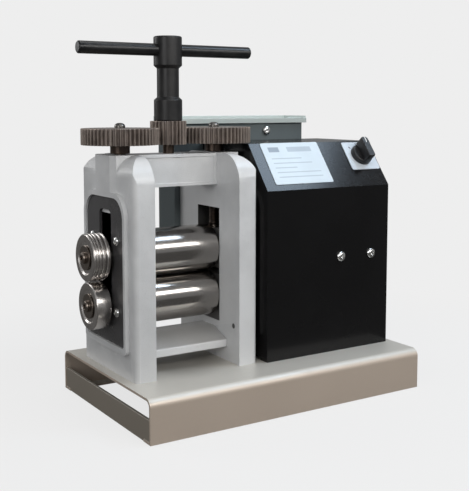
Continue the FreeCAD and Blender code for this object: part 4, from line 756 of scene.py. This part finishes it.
def tooth_wedge(name, teeth, module, width, bore, backlash, chamfer):
    """One tooth with its share of the rim, open where its neighbours join."""
    pressure = math.radians(20)
    pitch = teeth * module / 2
    base = pitch * math.cos(pressure)
    tip = pitch + module
    root = pitch - 1.25 * module
    half = math.pi / (2 * teeth) - backlash / (2 * pitch)
    involute = math.tan(pressure) - pressure
    start = max(base, root)
    flank = []
    for step in range(FLANK_STEPS + 1):
        radius = start + (tip - start) * step / FLANK_STEPS
        unwind = math.acos(min(1.0, base / radius))
        flank.append((radius, half + involute - (math.tan(unwind) - unwind)))
    if root < base:
        flank.insert(0, (root, flank[0][1]))
    edge = math.pi / teeth
    outline = [(root, -edge), *((radius, -angle) for radius, angle in flank), *reversed(flank), (root, edge)]
    work = bmesh.new()

    def corner(radius, angle, z):
        return work.verts.new((radius * math.cos(angle), radius * math.sin(angle), z))

    def ring(shrink, z):
        return [corner(radius - shrink, angle, z) for radius, angle in outline]

    rings = [ring(chamfer, 0.0), ring(0.0, chamfer), ring(0.0, width - chamfer), ring(chamfer, width)]
    inner = [[corner(bore, angle, z) for angle in (-edge, 0.0, edge)] for z in (0.0, width)]
    for low, high in zip(rings, rings[1:]):
        for number in range(len(outline) - 1):
            work.faces.new([low[number], low[number + 1], high[number + 1], high[number]])
    work.faces.new(inner[0] + list(reversed(rings[0])))
    work.faces.new(list(reversed(inner[1])) + rings[3])
    for number in range(2):
        work.faces.new([inner[1][number], inner[1][number + 1], inner[0][number + 1], inner[0][number]])
    return new_object(name, mesh_from(work, name, False), "gear steel")


def toothed_wheel(name, teeth, module, width, bore, backlash, turn, centre, axis="Z"):
    """A gear in its place, with its first tooth turned as the CAD's is."""
    item = tooth_wedge(name, teeth, module, width, bore, backlash, bpy.context.scene.mill.tooth_chamfer)
    run_tree(item, "Toothed wheel", {"Teeth": teeth, "Finish": finish("gear steel")})
    matrix = Matrix.Translation(Vector(centre))
    if axis == "X":
        matrix = matrix @ Matrix.Rotation(math.pi / 2, 4, "Y")
    item.data.transform(matrix @ Matrix.Rotation(turn, 4, "Z"))
    work = bmesh.new()
    work.from_mesh(item.data)
    bmesh.ops.recalc_face_normals(work, faces=work.faces)
    work.to_mesh(item.data)
    work.free()
    return smooth(item, WHEEL_ANGLE)


def fastener_field(name, head, places, facing, seed):
    """Bright copies of a fastener at the places, as one plain mesh."""
    mesh = bpy.data.meshes.new(name)
    mesh.from_pydata([Vector(place) for place in places], [], [])
    item = new_object(name, mesh, "bright screw")
    run_tree(item, "Fastener field", {
        "Fastener": head, "Facing": facing, "Turn Seed": seed, "Finish": finish("bright screw")})
    return smooth(item, TURNED_ANGLE)


# ---------------------------------------------------------------- stage

def emptied(block):
    """The emptied node tree of a world or material."""
    block.use_nodes = True
    block.node_tree.nodes.clear()
    return Net(block.node_tree)


def seen_plainly(net):
    """Light paths, and whether a ray comes from the camera or through glass."""
    path = net.add("ShaderNodeLightPath").outputs
    return path, net.maths("MAXIMUM", path["Is Camera Ray"], path["Is Transmission Ray"])


class MILL_OT_stage(bpy.types.Operator):
    """Camera, backdrop and soft studio light."""
    bl_idname = "mill.stage"
    bl_label = "Stage"

    CAMERA_PLACE = (-0.638, -0.9914, 0.3748)
    CAMERA_TURN = (90 - 5.71, 0.0, -32.31)
    FLOOR_SHADE = 0.10
    NEAR, FAR = 0.34, 0.75
    # name, place, target, width, height, power and colour
    LAMPS = (
        ("front softbox", (0.26, -1.38, 0.95), (0.0, 0.0, 0.15), 1.75, 0.36, 14.0, (1.0, 0.99, 0.97)),
        ("overhead softbox", (0.1, 0.1, 1.9), (0.1, 0.1, 0.0), 0.7, 0.7, 6.5, (1.0, 1.0, 1.0)),
        ("panel softbox", (0.78, -0.45, 1.45), (0.78, -0.45, 0.0), 0.52, 0.36, 7.5, (0.66, 0.82, 1.0)),
        ("left fill", (-1.7, -1.1, 0.8), (0.0, 0.0, 0.2), 1.0, 1.0, 8.0, (1.0, 1.0, 1.0)),
        ("back fill", (-1.1, 1.3, 0.9), (0.0, 0.0, 0.2), 0.8, 0.8, 6.0, (1.0, 1.0, 1.0)),
    )

    def execute(self, context):
        scene = context.scene
        scene.view_settings.view_transform = "Standard"
        camera = bpy.data.cameras.new("camera")
        camera.lens = 66.15
        camera.sensor_width = 36.0
        camera.shift_y = -0.10
        camera.clip_start = 0.05
        scene.camera = new_object("camera", camera)
        scene.camera.location = self.CAMERA_PLACE
        scene.camera.rotation_euler = [math.radians(angle) for angle in self.CAMERA_TURN]
        self.backdrop(scene)
        self.floor(scene.mill.backdrop)
        self.lamps()
        return {"FINISHED"}

    def backdrop(self, scene):
        """The backdrop's brightness to the eye, and a soft light to the mill."""
        scene.world = bpy.data.worlds.new("backdrop")
        net = emptied(scene.world)
        level = scene.mill.backdrop
        seen = net.out("ShaderNodeBackground", {"Strength": 1.0, "Color": (level, level, level)})
        soft = net.out("ShaderNodeBackground", {"Strength": 0.30, "Color": (0.97, 0.985, 1.0)})
        net.add("ShaderNodeOutputWorld", {0: net.mix_shaders(seen_plainly(net)[1], soft, seen)})

    def floor(self, level):
        """A floor that holds the shadow near the mill, fades to the backdrop and glows in reflections."""
        work = bmesh.new()
        bmesh.ops.create_grid(work, x_segments=1, y_segments=1, size=12.0)
        item = new_object("floor", mesh_from(work, "floor", False))
        item.location.z = -0.0002
        material = bpy.data.materials.new("floor")
        net = emptied(material)
        path, plain = seen_plainly(net)
        matt = net.out("ShaderNodeBsdfDiffuse", {"Color": (self.FLOOR_SHADE,) * 3})
        glow = net.out("ShaderNodeEmission", {
            "Color": (1.0, 1.0, 1.0), "Strength": net.times(plain, level - self.FLOOR_SHADE)})
        near = net.out("ShaderNodeAddShader", {0: matt, 1: glow})
        far = net.out("ShaderNodeEmission", {"Color": (level, level, level)})
        gloss = net.out("ShaderNodeEmission", {"Strength": 0.12, "Color": (1.0, 0.99, 0.97)})
        reach = net.vector("LENGTH", net.add("ShaderNodeTexCoord").outputs["Object"])["Value"]
        both = net.mix_shaders(net.times(plain, net.ramp(reach, self.NEAR, self.FAR)), near, far)
        net.add("ShaderNodeOutputMaterial", {0: net.mix_shaders(path["Is Glossy Ray"], both, gloss)})
        item.data.materials.append(material)

    def lamps(self):
        for name, place, target, wide, tall, power, colour in self.LAMPS:
            lamp = bpy.data.lights.new(name, "AREA")
            lamp.shape = "RECTANGLE"
            lamp.size = wide
            lamp.size_y = tall
            lamp.energy = power
            lamp.color = colour
            item = new_object(name, lamp)
            item.location = place
            direction = Vector(target) - Vector(place)
            if direction.xy.length > 1e-6:
                item.rotation_euler = direction.to_track_quat("-Z", "Y").to_euler()


# ---------------------------------------------------------------- pieces

class MILL_OT_base(bpy.types.Operator):
    """Bent sheet base and its end bars."""
    bl_idname = "mill.base"
    bl_label = "Base"

    def execute(self, context):
        edge = context.scene.mill.sheet_edge
        dressed("base_channel", "base sheet", edge)
        dressed("base_end_bars", "bar steel", edge)
        return {"FINISHED"}


class MILL_OT_castings(bpy.types.Operator):
    """Painted side frames and bridges."""
    bl_idname = "mill.castings"
    bl_label = "Castings"

    # radius and reach of a plug, from its filled face to the end of its shank
    PLUG = (
        (0.0, 0.00004), (0.00492, 0.00004), (0.00496, 0.0009),
        (0.0024, 0.0034), (0.0024, 0.049), (0.0, 0.049),
    )

    def execute(self, context):
        edge = context.scene.mill.casting_edge
        places = self.plug_places()
        bores = [((0.0, y, z), "X", PLUG_BORE) for y, z, _ in places]
        bores.append(((0.0, GUARD_Y, GUARD_Z), "X", GUARD_BORE))
        for name in ("left_side_frame", "right_side_frame"):
            self.darken_window_walls(dressed(name, "frame paint", edge, 3, bores))
        dressed("top_bridge", "frame paint", edge * 0.8, 3, bores)
        dressed("lower_bridge", "bridge paint", edge * 0.7, 3, bores)
        plugs = [self.plug(number, *place) for number, place in enumerate(places)]
        settle(join("painted_bridge_plugs", plugs), "bridge_screws")
        return {"FINISHED"}

    def darken_window_walls(self, casting):
        """Dark walls in the guard's hole and in the window that the bearing blocks slide in: bare machined
        iron, whose dark finish also stands in for the shade deep inside them.
        """
        casting.data.materials.append(finish("machined iron"))
        for face in casting.data.polygons:
            _, y, z = face.center
            inside = abs(y - ROLL_Y) < WINDOW_HALF and WINDOW_FOOT < z < WINDOW_TOP
            drilled = math.hypot(y - GUARD_Y, z - GUARD_Z) < GUARD_RADIUS
            if (inside or drilled) and abs(face.normal.x) < 0.5:
                face.material_index = 1

    def plug_places(self):
        """The eight screw places: Y, Z and the side they are driven from."""
        low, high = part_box("bridge_screws")
        rows = ((0.015, high.z - PLUG_RADIUS), (0.020, low.z + PLUG_RADIUS))
        return [(ROLL_Y + sign * reach, z, side) for side in (-1, 1) for reach, z in rows for sign in (-1, 1)]

    def plug(self, number, y, z, side):
        """A countersunk head filled level and painted over, with its shank."""
        low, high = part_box("left_side_frame" if side < 0 else "right_side_frame")
        inset = 0.0 if z > BETWEEN_BRIDGES_Z else LOWER_PLUG_INSET
        face, axis = (low.x + inset, "X") if side < 0 else (high.x - inset, "-X")
        return lathe(f"plug_{number}", self.PLUG, (face, y, z), axis, "frame paint", 0.0, 48)


class MILL_OT_bearings(bpy.types.Operator):
    """Bearing covers, blocks, bushes, pads and springs."""
    bl_idname = "mill.bearings"
    bl_label = "Bearings"

    def execute(self, context):
        edge = context.scene.mill.machined_edge
        for side in ("left", "right"):
            dressed(side + "_bearing_cover", "cover paint", edge)
            for level in ("lower", "upper"):
                dressed(f"{side}_{level}_bearing_block", "machined iron", edge)
        paint_nodes("bronze", "lower_bushes", "upper_bushes")
        paint_nodes("washer steel", "thrust_pads")
        paint_nodes("bright screw", "lift_springs")
        return {"FINISHED"}


class MILL_OT_rolls(bpy.types.Operator):
    """Ground rolls, side rolls and their end screws."""
    bl_idname = "mill.rolls"
    bl_label = "Rolls"

    # half lengths of the roll's face and of its journals, and the journals' radius
    FACE_HALF, JOURNAL_HALF, JOURNAL = 0.057, 0.0837, 0.017
    FACE_CHAMFER = 0.0012
    # the shaft that a side roll sits on, and the hole in its end
    SHAFT, SHAFT_CHAMFER = 0.012, 0.0005
    HOLE, HOLE_DEPTH = 0.004, 0.018
    # where the wire grooves stand across the side roll, and their share of the deepest one
    GROOVES = ((0.20, 1.0), (0.45, 0.8), (0.66, 0.62), (0.83, 0.46))
    GROOVE_STEPS, GROOVE_SPREAD = 8, 1.05
    DISH = 0.0016
    # radius and thickness of the end screw's head and of its washer
    HEAD, HEAD_TALL = 0.007, 0.004
    WASHER, WASHER_THICK = 0.015, 0.0015

    def execute(self, context):
        for level, z in ROLL_HEIGHTS.items():
            self.roll(level, z)
            self.side_roll(level, z, context.scene.mill.groove_depth)
            self.end_screw(level, z)
        return {"FINISHED"}

    def roll(self, level, z):
        low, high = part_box(level + "_roller")
        radius = (high.z - low.z) / 2
        face, end, journal, chamfer = self.FACE_HALF, self.JOURNAL_HALF, self.JOURNAL, self.FACE_CHAMFER
        left, right = low.x - MILL_X, high.x - MILL_X
        floor, cut = left + self.HOLE_DEPTH, self.SHAFT_CHAMFER
        profile = [
            (0.0, floor), (self.HOLE, floor), (self.HOLE, left), (self.SHAFT - cut, left),
            (self.SHAFT, left + cut), (self.SHAFT, -end), (journal, -end), (journal, -face),
            (radius - chamfer, -face), (radius, -face + chamfer), (radius, face - chamfer),
            (radius - chamfer, face), (journal, face), (journal, end), (ROLL_GEAR_BORE, end),
            (ROLL_GEAR_BORE, right - 0.0008), (ROLL_GEAR_BORE - 0.0008, right), (0.0, right),
        ]
        item = lathe(level + "_roll", profile, (MILL_X, ROLL_Y, z), "X", "roll steel", 0.0003, 160)
        settle(item, level + "_roller")

    def side_roll(self, level, z, depth):
        low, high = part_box(level + "_side_roller")
        radius = (high.z - low.z) / 2
        width = high.x - low.x
        rim, floor = radius - 0.008, width - self.DISH
        profile = [(self.SHAFT, 0.0), (radius - 0.001, 0.0), (radius, 0.001)]
        for place, scale in self.GROOVES if level == "upper" else ():
            for step in range(self.GROOVE_STEPS + 1):
                angle = math.pi * step / self.GROOVE_STEPS
                profile.append((radius - depth * scale * math.sin(angle),
                                width * place - depth * scale * math.cos(angle) * self.GROOVE_SPREAD))
        profile += [
            (radius, width - 0.0013), (radius - 0.0013, width), (rim, width), (rim - self.DISH, floor),
            (0.016, floor), (self.SHAFT, floor),
        ]
        place = (high.x, ROLL_Y, z)
        item = lathe(level + "_side_roll", profile, place, "-X", "side roll steel", 0.00022, 120)
        settle(item, level + "_side_roller")

    def end_screw(self, level, z):
        """Washer and socket screw that hold a side roll on its shaft."""
        low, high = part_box(level + "_side_roller_screw")
        top = high.x - low.x
        head, washer = self.HEAD, self.WASHER
        face = top - self.HEAD_TALL
        seat = face - self.WASHER_THICK
        profile = [
            (0.0, 0.0), (0.0036, 0.0), (0.0039, 0.0006), (0.0039, seat), (washer, seat), (washer, face),
            (head, face), (head, top - 0.0016), (head * 0.86, top - 0.0004), (head * 0.6, top),
            (0.0033, top), (0.0031, top - 0.0003), (0.0031, top - 0.0026), (0.0, top - 0.003),
        ]
        item = lathe(level + "_end_screw", profile, (high.x, ROLL_Y, z), "-X", "washer steel", 0.00025, 48)
        settle(item, level + "_side_roller_screw")


class MILL_OT_screw_down(bpy.types.Operator):
    """Pressure screws with their gears and the pinion between them."""
    bl_idname = "mill.screw_down"
    bl_label = "Screw-down gear"

    THREAD, THREAD_ROOT, THREAD_PITCH = 0.0070, 0.0062, 0.002
    COLLAR = 0.012
    SEAT = 0.006
    TIP = 0.004
    # a cap nut's outline as shares of its radius and height
    NUT_DOME = ((1.0, 0.0), (1.0, 0.42), (0.93, 0.62), (0.78, 0.8), (0.5, 0.95), (0.2, 1.0), (0.0, 1.0))

    def execute(self, context):
        for side in ("left", "right"):
            place = middle(side + "_pressure_screw")
            low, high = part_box(side + "_screw_gear")
            wheel = toothed_wheel(side + "_wheel", WHEEL_TEETH, SCREW_MODULE, high.z - low.z, self.SEAT,
                                  SCREW_BACKLASH, math.pi / WHEEL_TEETH, (place.x, place.y, low.z))
            settle(wheel, side + "_screw_gear")
            self.screw(side, place, low.z)
            self.nut(side, place)
        low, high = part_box("centre_pinion")
        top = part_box("tee_handle_hub")[0].z
        teeth = toothed_wheel("pinion_teeth", PINION_TEETH, SCREW_MODULE, top - low.z, STUD_BORE,
                              SCREW_BACKLASH, 0.0, (MILL_X, ROLL_Y, low.z))
        tube = [(STUD_BORE, top - 0.001), (0.010, top - 0.001), (0.010, high.z), (STUD_BORE, high.z)]
        spigot = lathe("pinion_spigot", tube, (MILL_X, ROLL_Y, 0), "Z", "gear steel", 0.0003, 48)
        settle(join("pinion", [teeth, spigot]), "centre_pinion")
        paint_nodes("screw steel", "pinion_stud")
        return {"FINISHED"}

    def screw(self, side, place, gear_foot):
        low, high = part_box(side + "_pressure_screw")
        crest, root, shoulder, seat, tip = self.THREAD, self.THREAD_ROOT, self.COLLAR, self.SEAT, self.TIP
        collar = gear_foot - 0.0107
        profile = [(0.0, low.z), (0.0056, low.z), (0.007, low.z + 0.0014)]
        z = low.z + 0.004
        while z < collar - 0.012:
            profile += [(crest, z), (root, z + 0.0008), (root, z + 0.0011), (crest, z + 0.0019)]
            z += self.THREAD_PITCH
        profile += [
            (crest, collar), (0.0118, collar), (shoulder, collar + 0.0004), (shoulder, gear_foot),
            (seat, gear_foot), (seat, high.z - 0.004), (tip, high.z - 0.004), (tip, high.z), (0.0, high.z),
        ]
        item = lathe(side + "_screw", profile, (place.x, place.y, 0), "Z", "screw steel", 0.0002, 64)
        settle(item, side + "_pressure_screw")

    def nut(self, side, place):
        low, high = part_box(side + "_gear_nut")
        tall, radius = high.z - low.z, (high.x - low.x) / 2
        dome = [(radius * out, tall * up) for out, up in self.NUT_DOME]
        profile = [(self.TIP, 0.0), *dome, (0.0, tall * 0.5), (self.TIP, tall * 0.5)]
        item = lathe(side + "_nut", profile, (place.x, place.y, low.z), "Z", "dark nut", 0.0003, 48)
        settle(item, side + "_gear_nut")


class MILL_OT_handle(bpy.types.Operator):
    """Tee handle: hub, cross bar and grub screws."""
    bl_idname = "mill.handle"
    bl_label = "Tee handle"

    NECK, NECK_FOOT, NECK_TOP = 0.0138, 0.386, 0.4215
    CONE = 0.0035
    SOCKET, SOCKET_DEPTH = 0.010, 0.0145
    ROUNDING = 0.0014

    def execute(self, context):
        low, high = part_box("tee_handle_hub")
        radius = (high.x - low.x) / 2
        cut, floor = self.ROUNDING, low.z + self.SOCKET_DEPTH
        profile = [
            (self.SOCKET, low.z), (radius - 0.001, low.z), (radius, low.z + 0.001),
            (radius, self.NECK_FOOT - self.CONE), (self.NECK, self.NECK_FOOT),
            (self.NECK, self.NECK_TOP), (radius, self.NECK_TOP + self.CONE), (radius, high.z - cut),
            (radius - cut, high.z), (0.0034, high.z), (0.0030, high.z - 0.001), (0.0030, high.z - 0.006),
            (0.0, high.z - 0.007), (0.0, floor), (self.SOCKET, floor),
        ]
        hub = lathe("handle_hub", profile, (MILL_X, ROLL_Y, 0), "Z", "black oxide", 0.0006, 96)
        settle(hub, "tee_handle_hub")
        low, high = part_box("tee_handle_bar")
        half, thick = (high.x - low.x) / 2, (high.z - low.z) / 2
        profile = [
            (0.0, -half), (thick - cut, -half), (thick, -half + cut),
            (thick, half - cut), (thick - cut, half), (0.0, half),
        ]
        place = (MILL_X, ROLL_Y, (low.z + high.z) / 2)
        bar = lathe("handle_bar", profile, place, "X", "black oxide", 0.0005, 64)
        settle(bar, "tee_handle_bar")
        paint_nodes("black oxide", "handle_grub_screws")
        return {"FINISHED"}


def front_screw_places():
    """X of the two dome screws on the housing's front."""
    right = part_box("motor_housing")[1].x - FRONT_SCREW_INSET
    return right - FRONT_SCREW_PITCH, right


def mount_screw_places():
    """X of the two screws that hold the electrics box to the housing."""
    low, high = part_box("motor_housing")
    return low.x + MOUNT_SCREW_INSET, high.x - MOUNT_SCREW_INSET


class MILL_OT_housing(bpy.types.Operator):
    """Motor housing of folded sheet."""
    bl_idname = "mill.housing"
    bl_label = "Motor housing"

    def execute(self, context):
        bores = [((x, 0.0, FRONT_SCREW_Z), "Y", SCREW_BORE) for x in front_screw_places()]
        bores += [((x, 0.0, MOUNT_SCREW_Z), "Y", SCREW_BORE) for x in mount_screw_places()]
        dressed("motor_housing", "housing coat", context.scene.mill.fold_radius, 3, bores)
        return {"FINISHED"}


def panel_matrix(place_x, rise):
    """The frame of a point on the slanted panel: X along it, Y up the slope, Z square to it."""
    low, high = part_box("motor_housing")
    slope = math.atan2(high.z - FOLD_Z, PANEL_RUN)
    place = (place_x, low.y + rise * math.cos(slope), FOLD_Z + rise * math.sin(slope))
    return Matrix.Translation(place) @ Matrix.Rotation(slope, 4, "X")


class MILL_OT_panel(bpy.types.Operator):
    """Blank name plate, switch plate and rotary knob on the slanted panel."""
    bl_idname = "mill.panel"
    bl_label = "Switch panel"

    # a grip that narrows in the middle and ends in a rounded nose: Y and half width
    GRIP = ((-0.0150, 0.0040), (-0.0125, 0.0056), (-0.006, 0.0057), (0.002, 0.0055), (0.009, 0.0057),
            (0.0142, 0.0052), (0.0168, 0.0034))
    KNOB_FOOT = 0.0019
    SWITCH_PLATE = 0.0016

    def execute(self, context):
        self.name_plate()
        self.switch()
        paint_nodes("black plastic", "switch_body")
        return {"FINISHED"}

    def name_plate(self):
        low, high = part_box("name_plate")
        width = high.x - low.x
        outline = rounded_outline(width / 2, PLATE_TALL / 2, 0.002)
        plate = extrude_outline("blank_name_plate", outline, 0.0, 0.0008, Matrix.Identity(4),
                                "name plate", 0.00025, 2)
        layer = plate.data.uv_layers.new(name="Plate")
        for loop in plate.data.loops:
            x, y, _ = plate.data.vertices[loop.vertex_index].co
            layer.data[loop.index].uv = (x / width + 0.5, y / PLATE_TALL + 0.5)
        plate.data.transform(panel_matrix((low.x + high.x) / 2, PLATE_RISE + PLATE_TALL / 2))
        settle(plate, "name_plate")

    def switch(self):
        low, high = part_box("switch_plate")
        seat = panel_matrix((low.x + high.x) / 2, SWITCH_RISE)
        face = self.SWITCH_PLATE
        outline = rounded_outline((high.x - low.x) / 2, 0.0223, 0.003)
        pieces = [extrude_outline("switch_face", outline, 0.0, face, seat, "switch plate", 0.0004, 3)]
        for number, angle in enumerate((-45, 0, 45)):
            turn = Matrix.Rotation(math.radians(-angle), 4, "Z") @ Matrix.Translation((0, 0.0188, 0))
            pieces.append(extrude_outline(f"tick_{number}", rounded_outline(0.0007, 0.0018, 0.0004, 2), face,
                                          face + 0.00015, seat @ turn, "dark mark", 0.00003, 1))
        settle(join("switch_plate_marked", pieces), "switch_plate")
        foot = self.KNOB_FOOT
        skirt = lathe("knob_skirt", [
            (0.0, foot - 0.012), (0.003, foot - 0.012), (0.003, foot), (0.0154, foot),
            (0.0155, foot + 0.0004), (0.0150, foot + 0.0056), (0.0137, foot + 0.0069), (0.0, foot + 0.0072),
        ], (0, 0, 0), "Z", "black plastic", 0.0006, 72)
        outline = [(x, y) for y, x in self.GRIP] + [(-x, y) for y, x in reversed(self.GRIP)]
        grip = extrude_outline("knob_grip", outline, foot + 0.005, foot + 0.021, Matrix.Identity(4),
                               "black plastic", 0.0016, 4)
        pointer = extrude_outline("knob_pointer", rounded_outline(0.0006, 0.0045, 0.0005, 3),
                                  foot + 0.0209, foot + 0.02115, Matrix.Translation((0, 0.0115, 0)),
                                  "white mark", 0.00005, 1)
        knob = join("knob", [skirt, grip, pointer])
        knob.data.transform(seat)
        settle(knob, "switch_knob")


class MILL_OT_electrics(bpy.types.Operator):
    """Electrics box with its tray lid, gland and terminal block."""
    bl_idname = "mill.electrics"
    bl_label = "Electrics box"

    # radius and reach of the gland, from inside the box's wall to its dome nut
    GLAND = (
        (0.0045, -0.004), (0.010, -0.004), (0.010, -BOX_WALL), (0.007, -BOX_WALL), (0.007, 0.0), (0.010, 0.0),
        (0.010, 0.0055), (0.0085, 0.007), (0.0085, 0.0125), (0.0062, 0.016), (0.0045, 0.016),
    )

    def execute(self, context):
        edge = context.scene.mill.sheet_edge
        dressed("electrics_box", "box coat", edge)
        dressed("tray_lid", "tray sheet", edge * 0.7)
        centre = middle("cable_gland")
        place = (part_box("electrics_box")[1].x, centre.y, centre.z)
        gland = lathe("gland", self.GLAND, place, "X", "black plastic", 0.0005, 36)
        settle(gland, "cable_gland")
        paint_nodes("grey plastic", "terminal_block")
        return {"FINISHED"}


class MILL_OT_fasteners(bpy.types.Operator):
    """Dome screws and bolts, set by geometry nodes."""
    bl_idname = "mill.fasteners"
    bl_label = "Fasteners"

    # a dome's outline as shares of its radius and height, down to its socket
    DOME = ((0.96, 0.0), (1.0, 0.14), (0.965, 0.42), (0.84, 0.7), (0.66, 0.9), (0.46, 1.0))
    SOCKET = ((1.0, 1.0), (0.94, 0.93), (0.94, 0.35), (0.0, 0.25))
    SHANK = 0.0029
    COVER_BOLT_Y, COVER_BOLT_RISE = 0.034, 0.043
    COVER_BOLT_HEAD = 0.004

    def execute(self, context):
        self.dome_screws()
        self.cover_bolts()
        paint_nodes("bright screw", "frame_foot_bolts", "gearbox_bolts", "housing_base_screws")
        return {"FINISHED"}

    def dome(self, name, radius, tall, shank, socket):
        profile = [(0.0, -shank), (self.SHANK, -shank), (self.SHANK, 0.0)]
        profile += [(radius * out, tall * up) for out, up in self.DOME]
        profile += [(socket * out, tall * up) for out, up in self.SOCKET]
        return lathe(name, profile, (0, 0, 0), "Z", "bright screw", 0.0002, 40)

    def dome_screws(self):
        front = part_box("motor_housing")[0].y
        low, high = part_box("electrics_box")
        head = self.dome("dome_pattern", 0.0068, 0.0040, 0.007, 0.0023)
        towards_front, towards_back = (math.pi / 2, 0.0, 0.0), (-math.pi / 2, 0.0, 0.0)
        lid_places = (low.x + LID_SCREW_INSET, high.x - LID_SCREW_INSET)
        sets = [
            fastener_field(name, head, [(x, y, z) for x in places], facing, seed)
            for name, places, y, z, facing, seed in (
                ("front_screws", front_screw_places(), front, FRONT_SCREW_Z, towards_front, 3),
                ("lid_screws", lid_places, low.y, LID_SCREW_Z, towards_front, 5),
                ("mount_screws", mount_screw_places(), low.y + BOX_WALL, MOUNT_SCREW_Z, towards_back, 7),
            )]
        remove_object(head)
        settle(join("dome_screw_set", sets), "dome_screws")

    def cover_bolts(self):
        low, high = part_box("bearing_cover_bolts")
        reach, rise, tall = self.COVER_BOLT_Y, self.COVER_BOLT_RISE, self.COVER_BOLT_HEAD
        head = self.dome("bolt_pattern_head", 0.0055, tall, 0.013, 0.0021)
        centre_z = (low.z + high.z) / 2
        sets = []
        for side, x, turn in (("left", low.x + tall, -math.pi / 2), ("right", high.x - tall, math.pi / 2)):
            places = [(x, ROLL_Y + dy, centre_z + dz) for dy in (-reach, reach) for dz in (-rise, rise)]
            sets.append(fastener_field(side + "_bolts", head, places, (0.0, turn, 0.0), 11))
        remove_object(head)
        settle(join("cover_bolt_set", sets), "bearing_cover_bolts")


class MILL_OT_drive(bpy.types.Operator):
    """Roll gears, gear train and motor inside the housing."""
    bl_idname = "mill.drive"
    bl_label = "Drive"

    def execute(self, context):
        for level, z in ROLL_HEIGHTS.items():
            low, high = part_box(level + "_roll_gear")
            wheel = toothed_wheel(level + "_roll_wheel", ROLL_TEETH, ROLL_MODULE, high.x - low.x,
                                  ROLL_GEAR_BORE, ROLL_BACKLASH, math.pi, (low.x, ROLL_Y, z), "X")
            settle(wheel, level + "_roll_gear")
        paint_nodes("gear steel", "output_gear", "layshaft_gears")
        paint_nodes("laminations", "motor_rotor", "motor_stator")
        paint_nodes("can", "run_capacitor", "capacitor_clamp")
        for name in ("gearbox_case", "gearbox_cover", "motor_case", "motor_end_shield"):
            dressed(name, "cast aluminium", context.scene.mill.machined_edge * 2)
        return {"FINISHED"}


class MILL_PT_panel(bpy.types.Panel):
    """Lists the mill's sizes, colours and pieces."""
    bl_idname = "MILL_PT_panel"
    bl_label = "Rolling mill"
    bl_space_type = "VIEW_3D"
    bl_region_type = "UI"
    bl_category = "Rolling mill"

    def draw(self, context):
        settings = context.scene.mill
        column = self.layout.column(align=True)
        for name in MillSettings.__annotations__:
            column.prop(settings, name)
        for piece in OPERATORS:
            column.operator(piece.bl_idname)


OPERATORS = (
    MILL_OT_stage, MILL_OT_base, MILL_OT_castings, MILL_OT_bearings, MILL_OT_rolls, MILL_OT_screw_down,
    MILL_OT_handle, MILL_OT_housing, MILL_OT_panel, MILL_OT_electrics, MILL_OT_fasteners, MILL_OT_drive,
)
CLASSES = (MillSettings, *OPERATORS, MILL_PT_panel)


def register():
    for item in CLASSES:
        bpy.utils.register_class(item)
    bpy.types.Scene.mill = PointerProperty(type=MillSettings)


def unregister():
    del bpy.types.Scene.mill
    for item in reversed(CLASSES):
        bpy.utils.unregister_class(item)


def main():
    register()
    for piece in OPERATORS:
        group, name = piece.bl_idname.split(".")
        getattr(getattr(bpy.ops, group), name)()


if __name__ == "__main__":
    main()
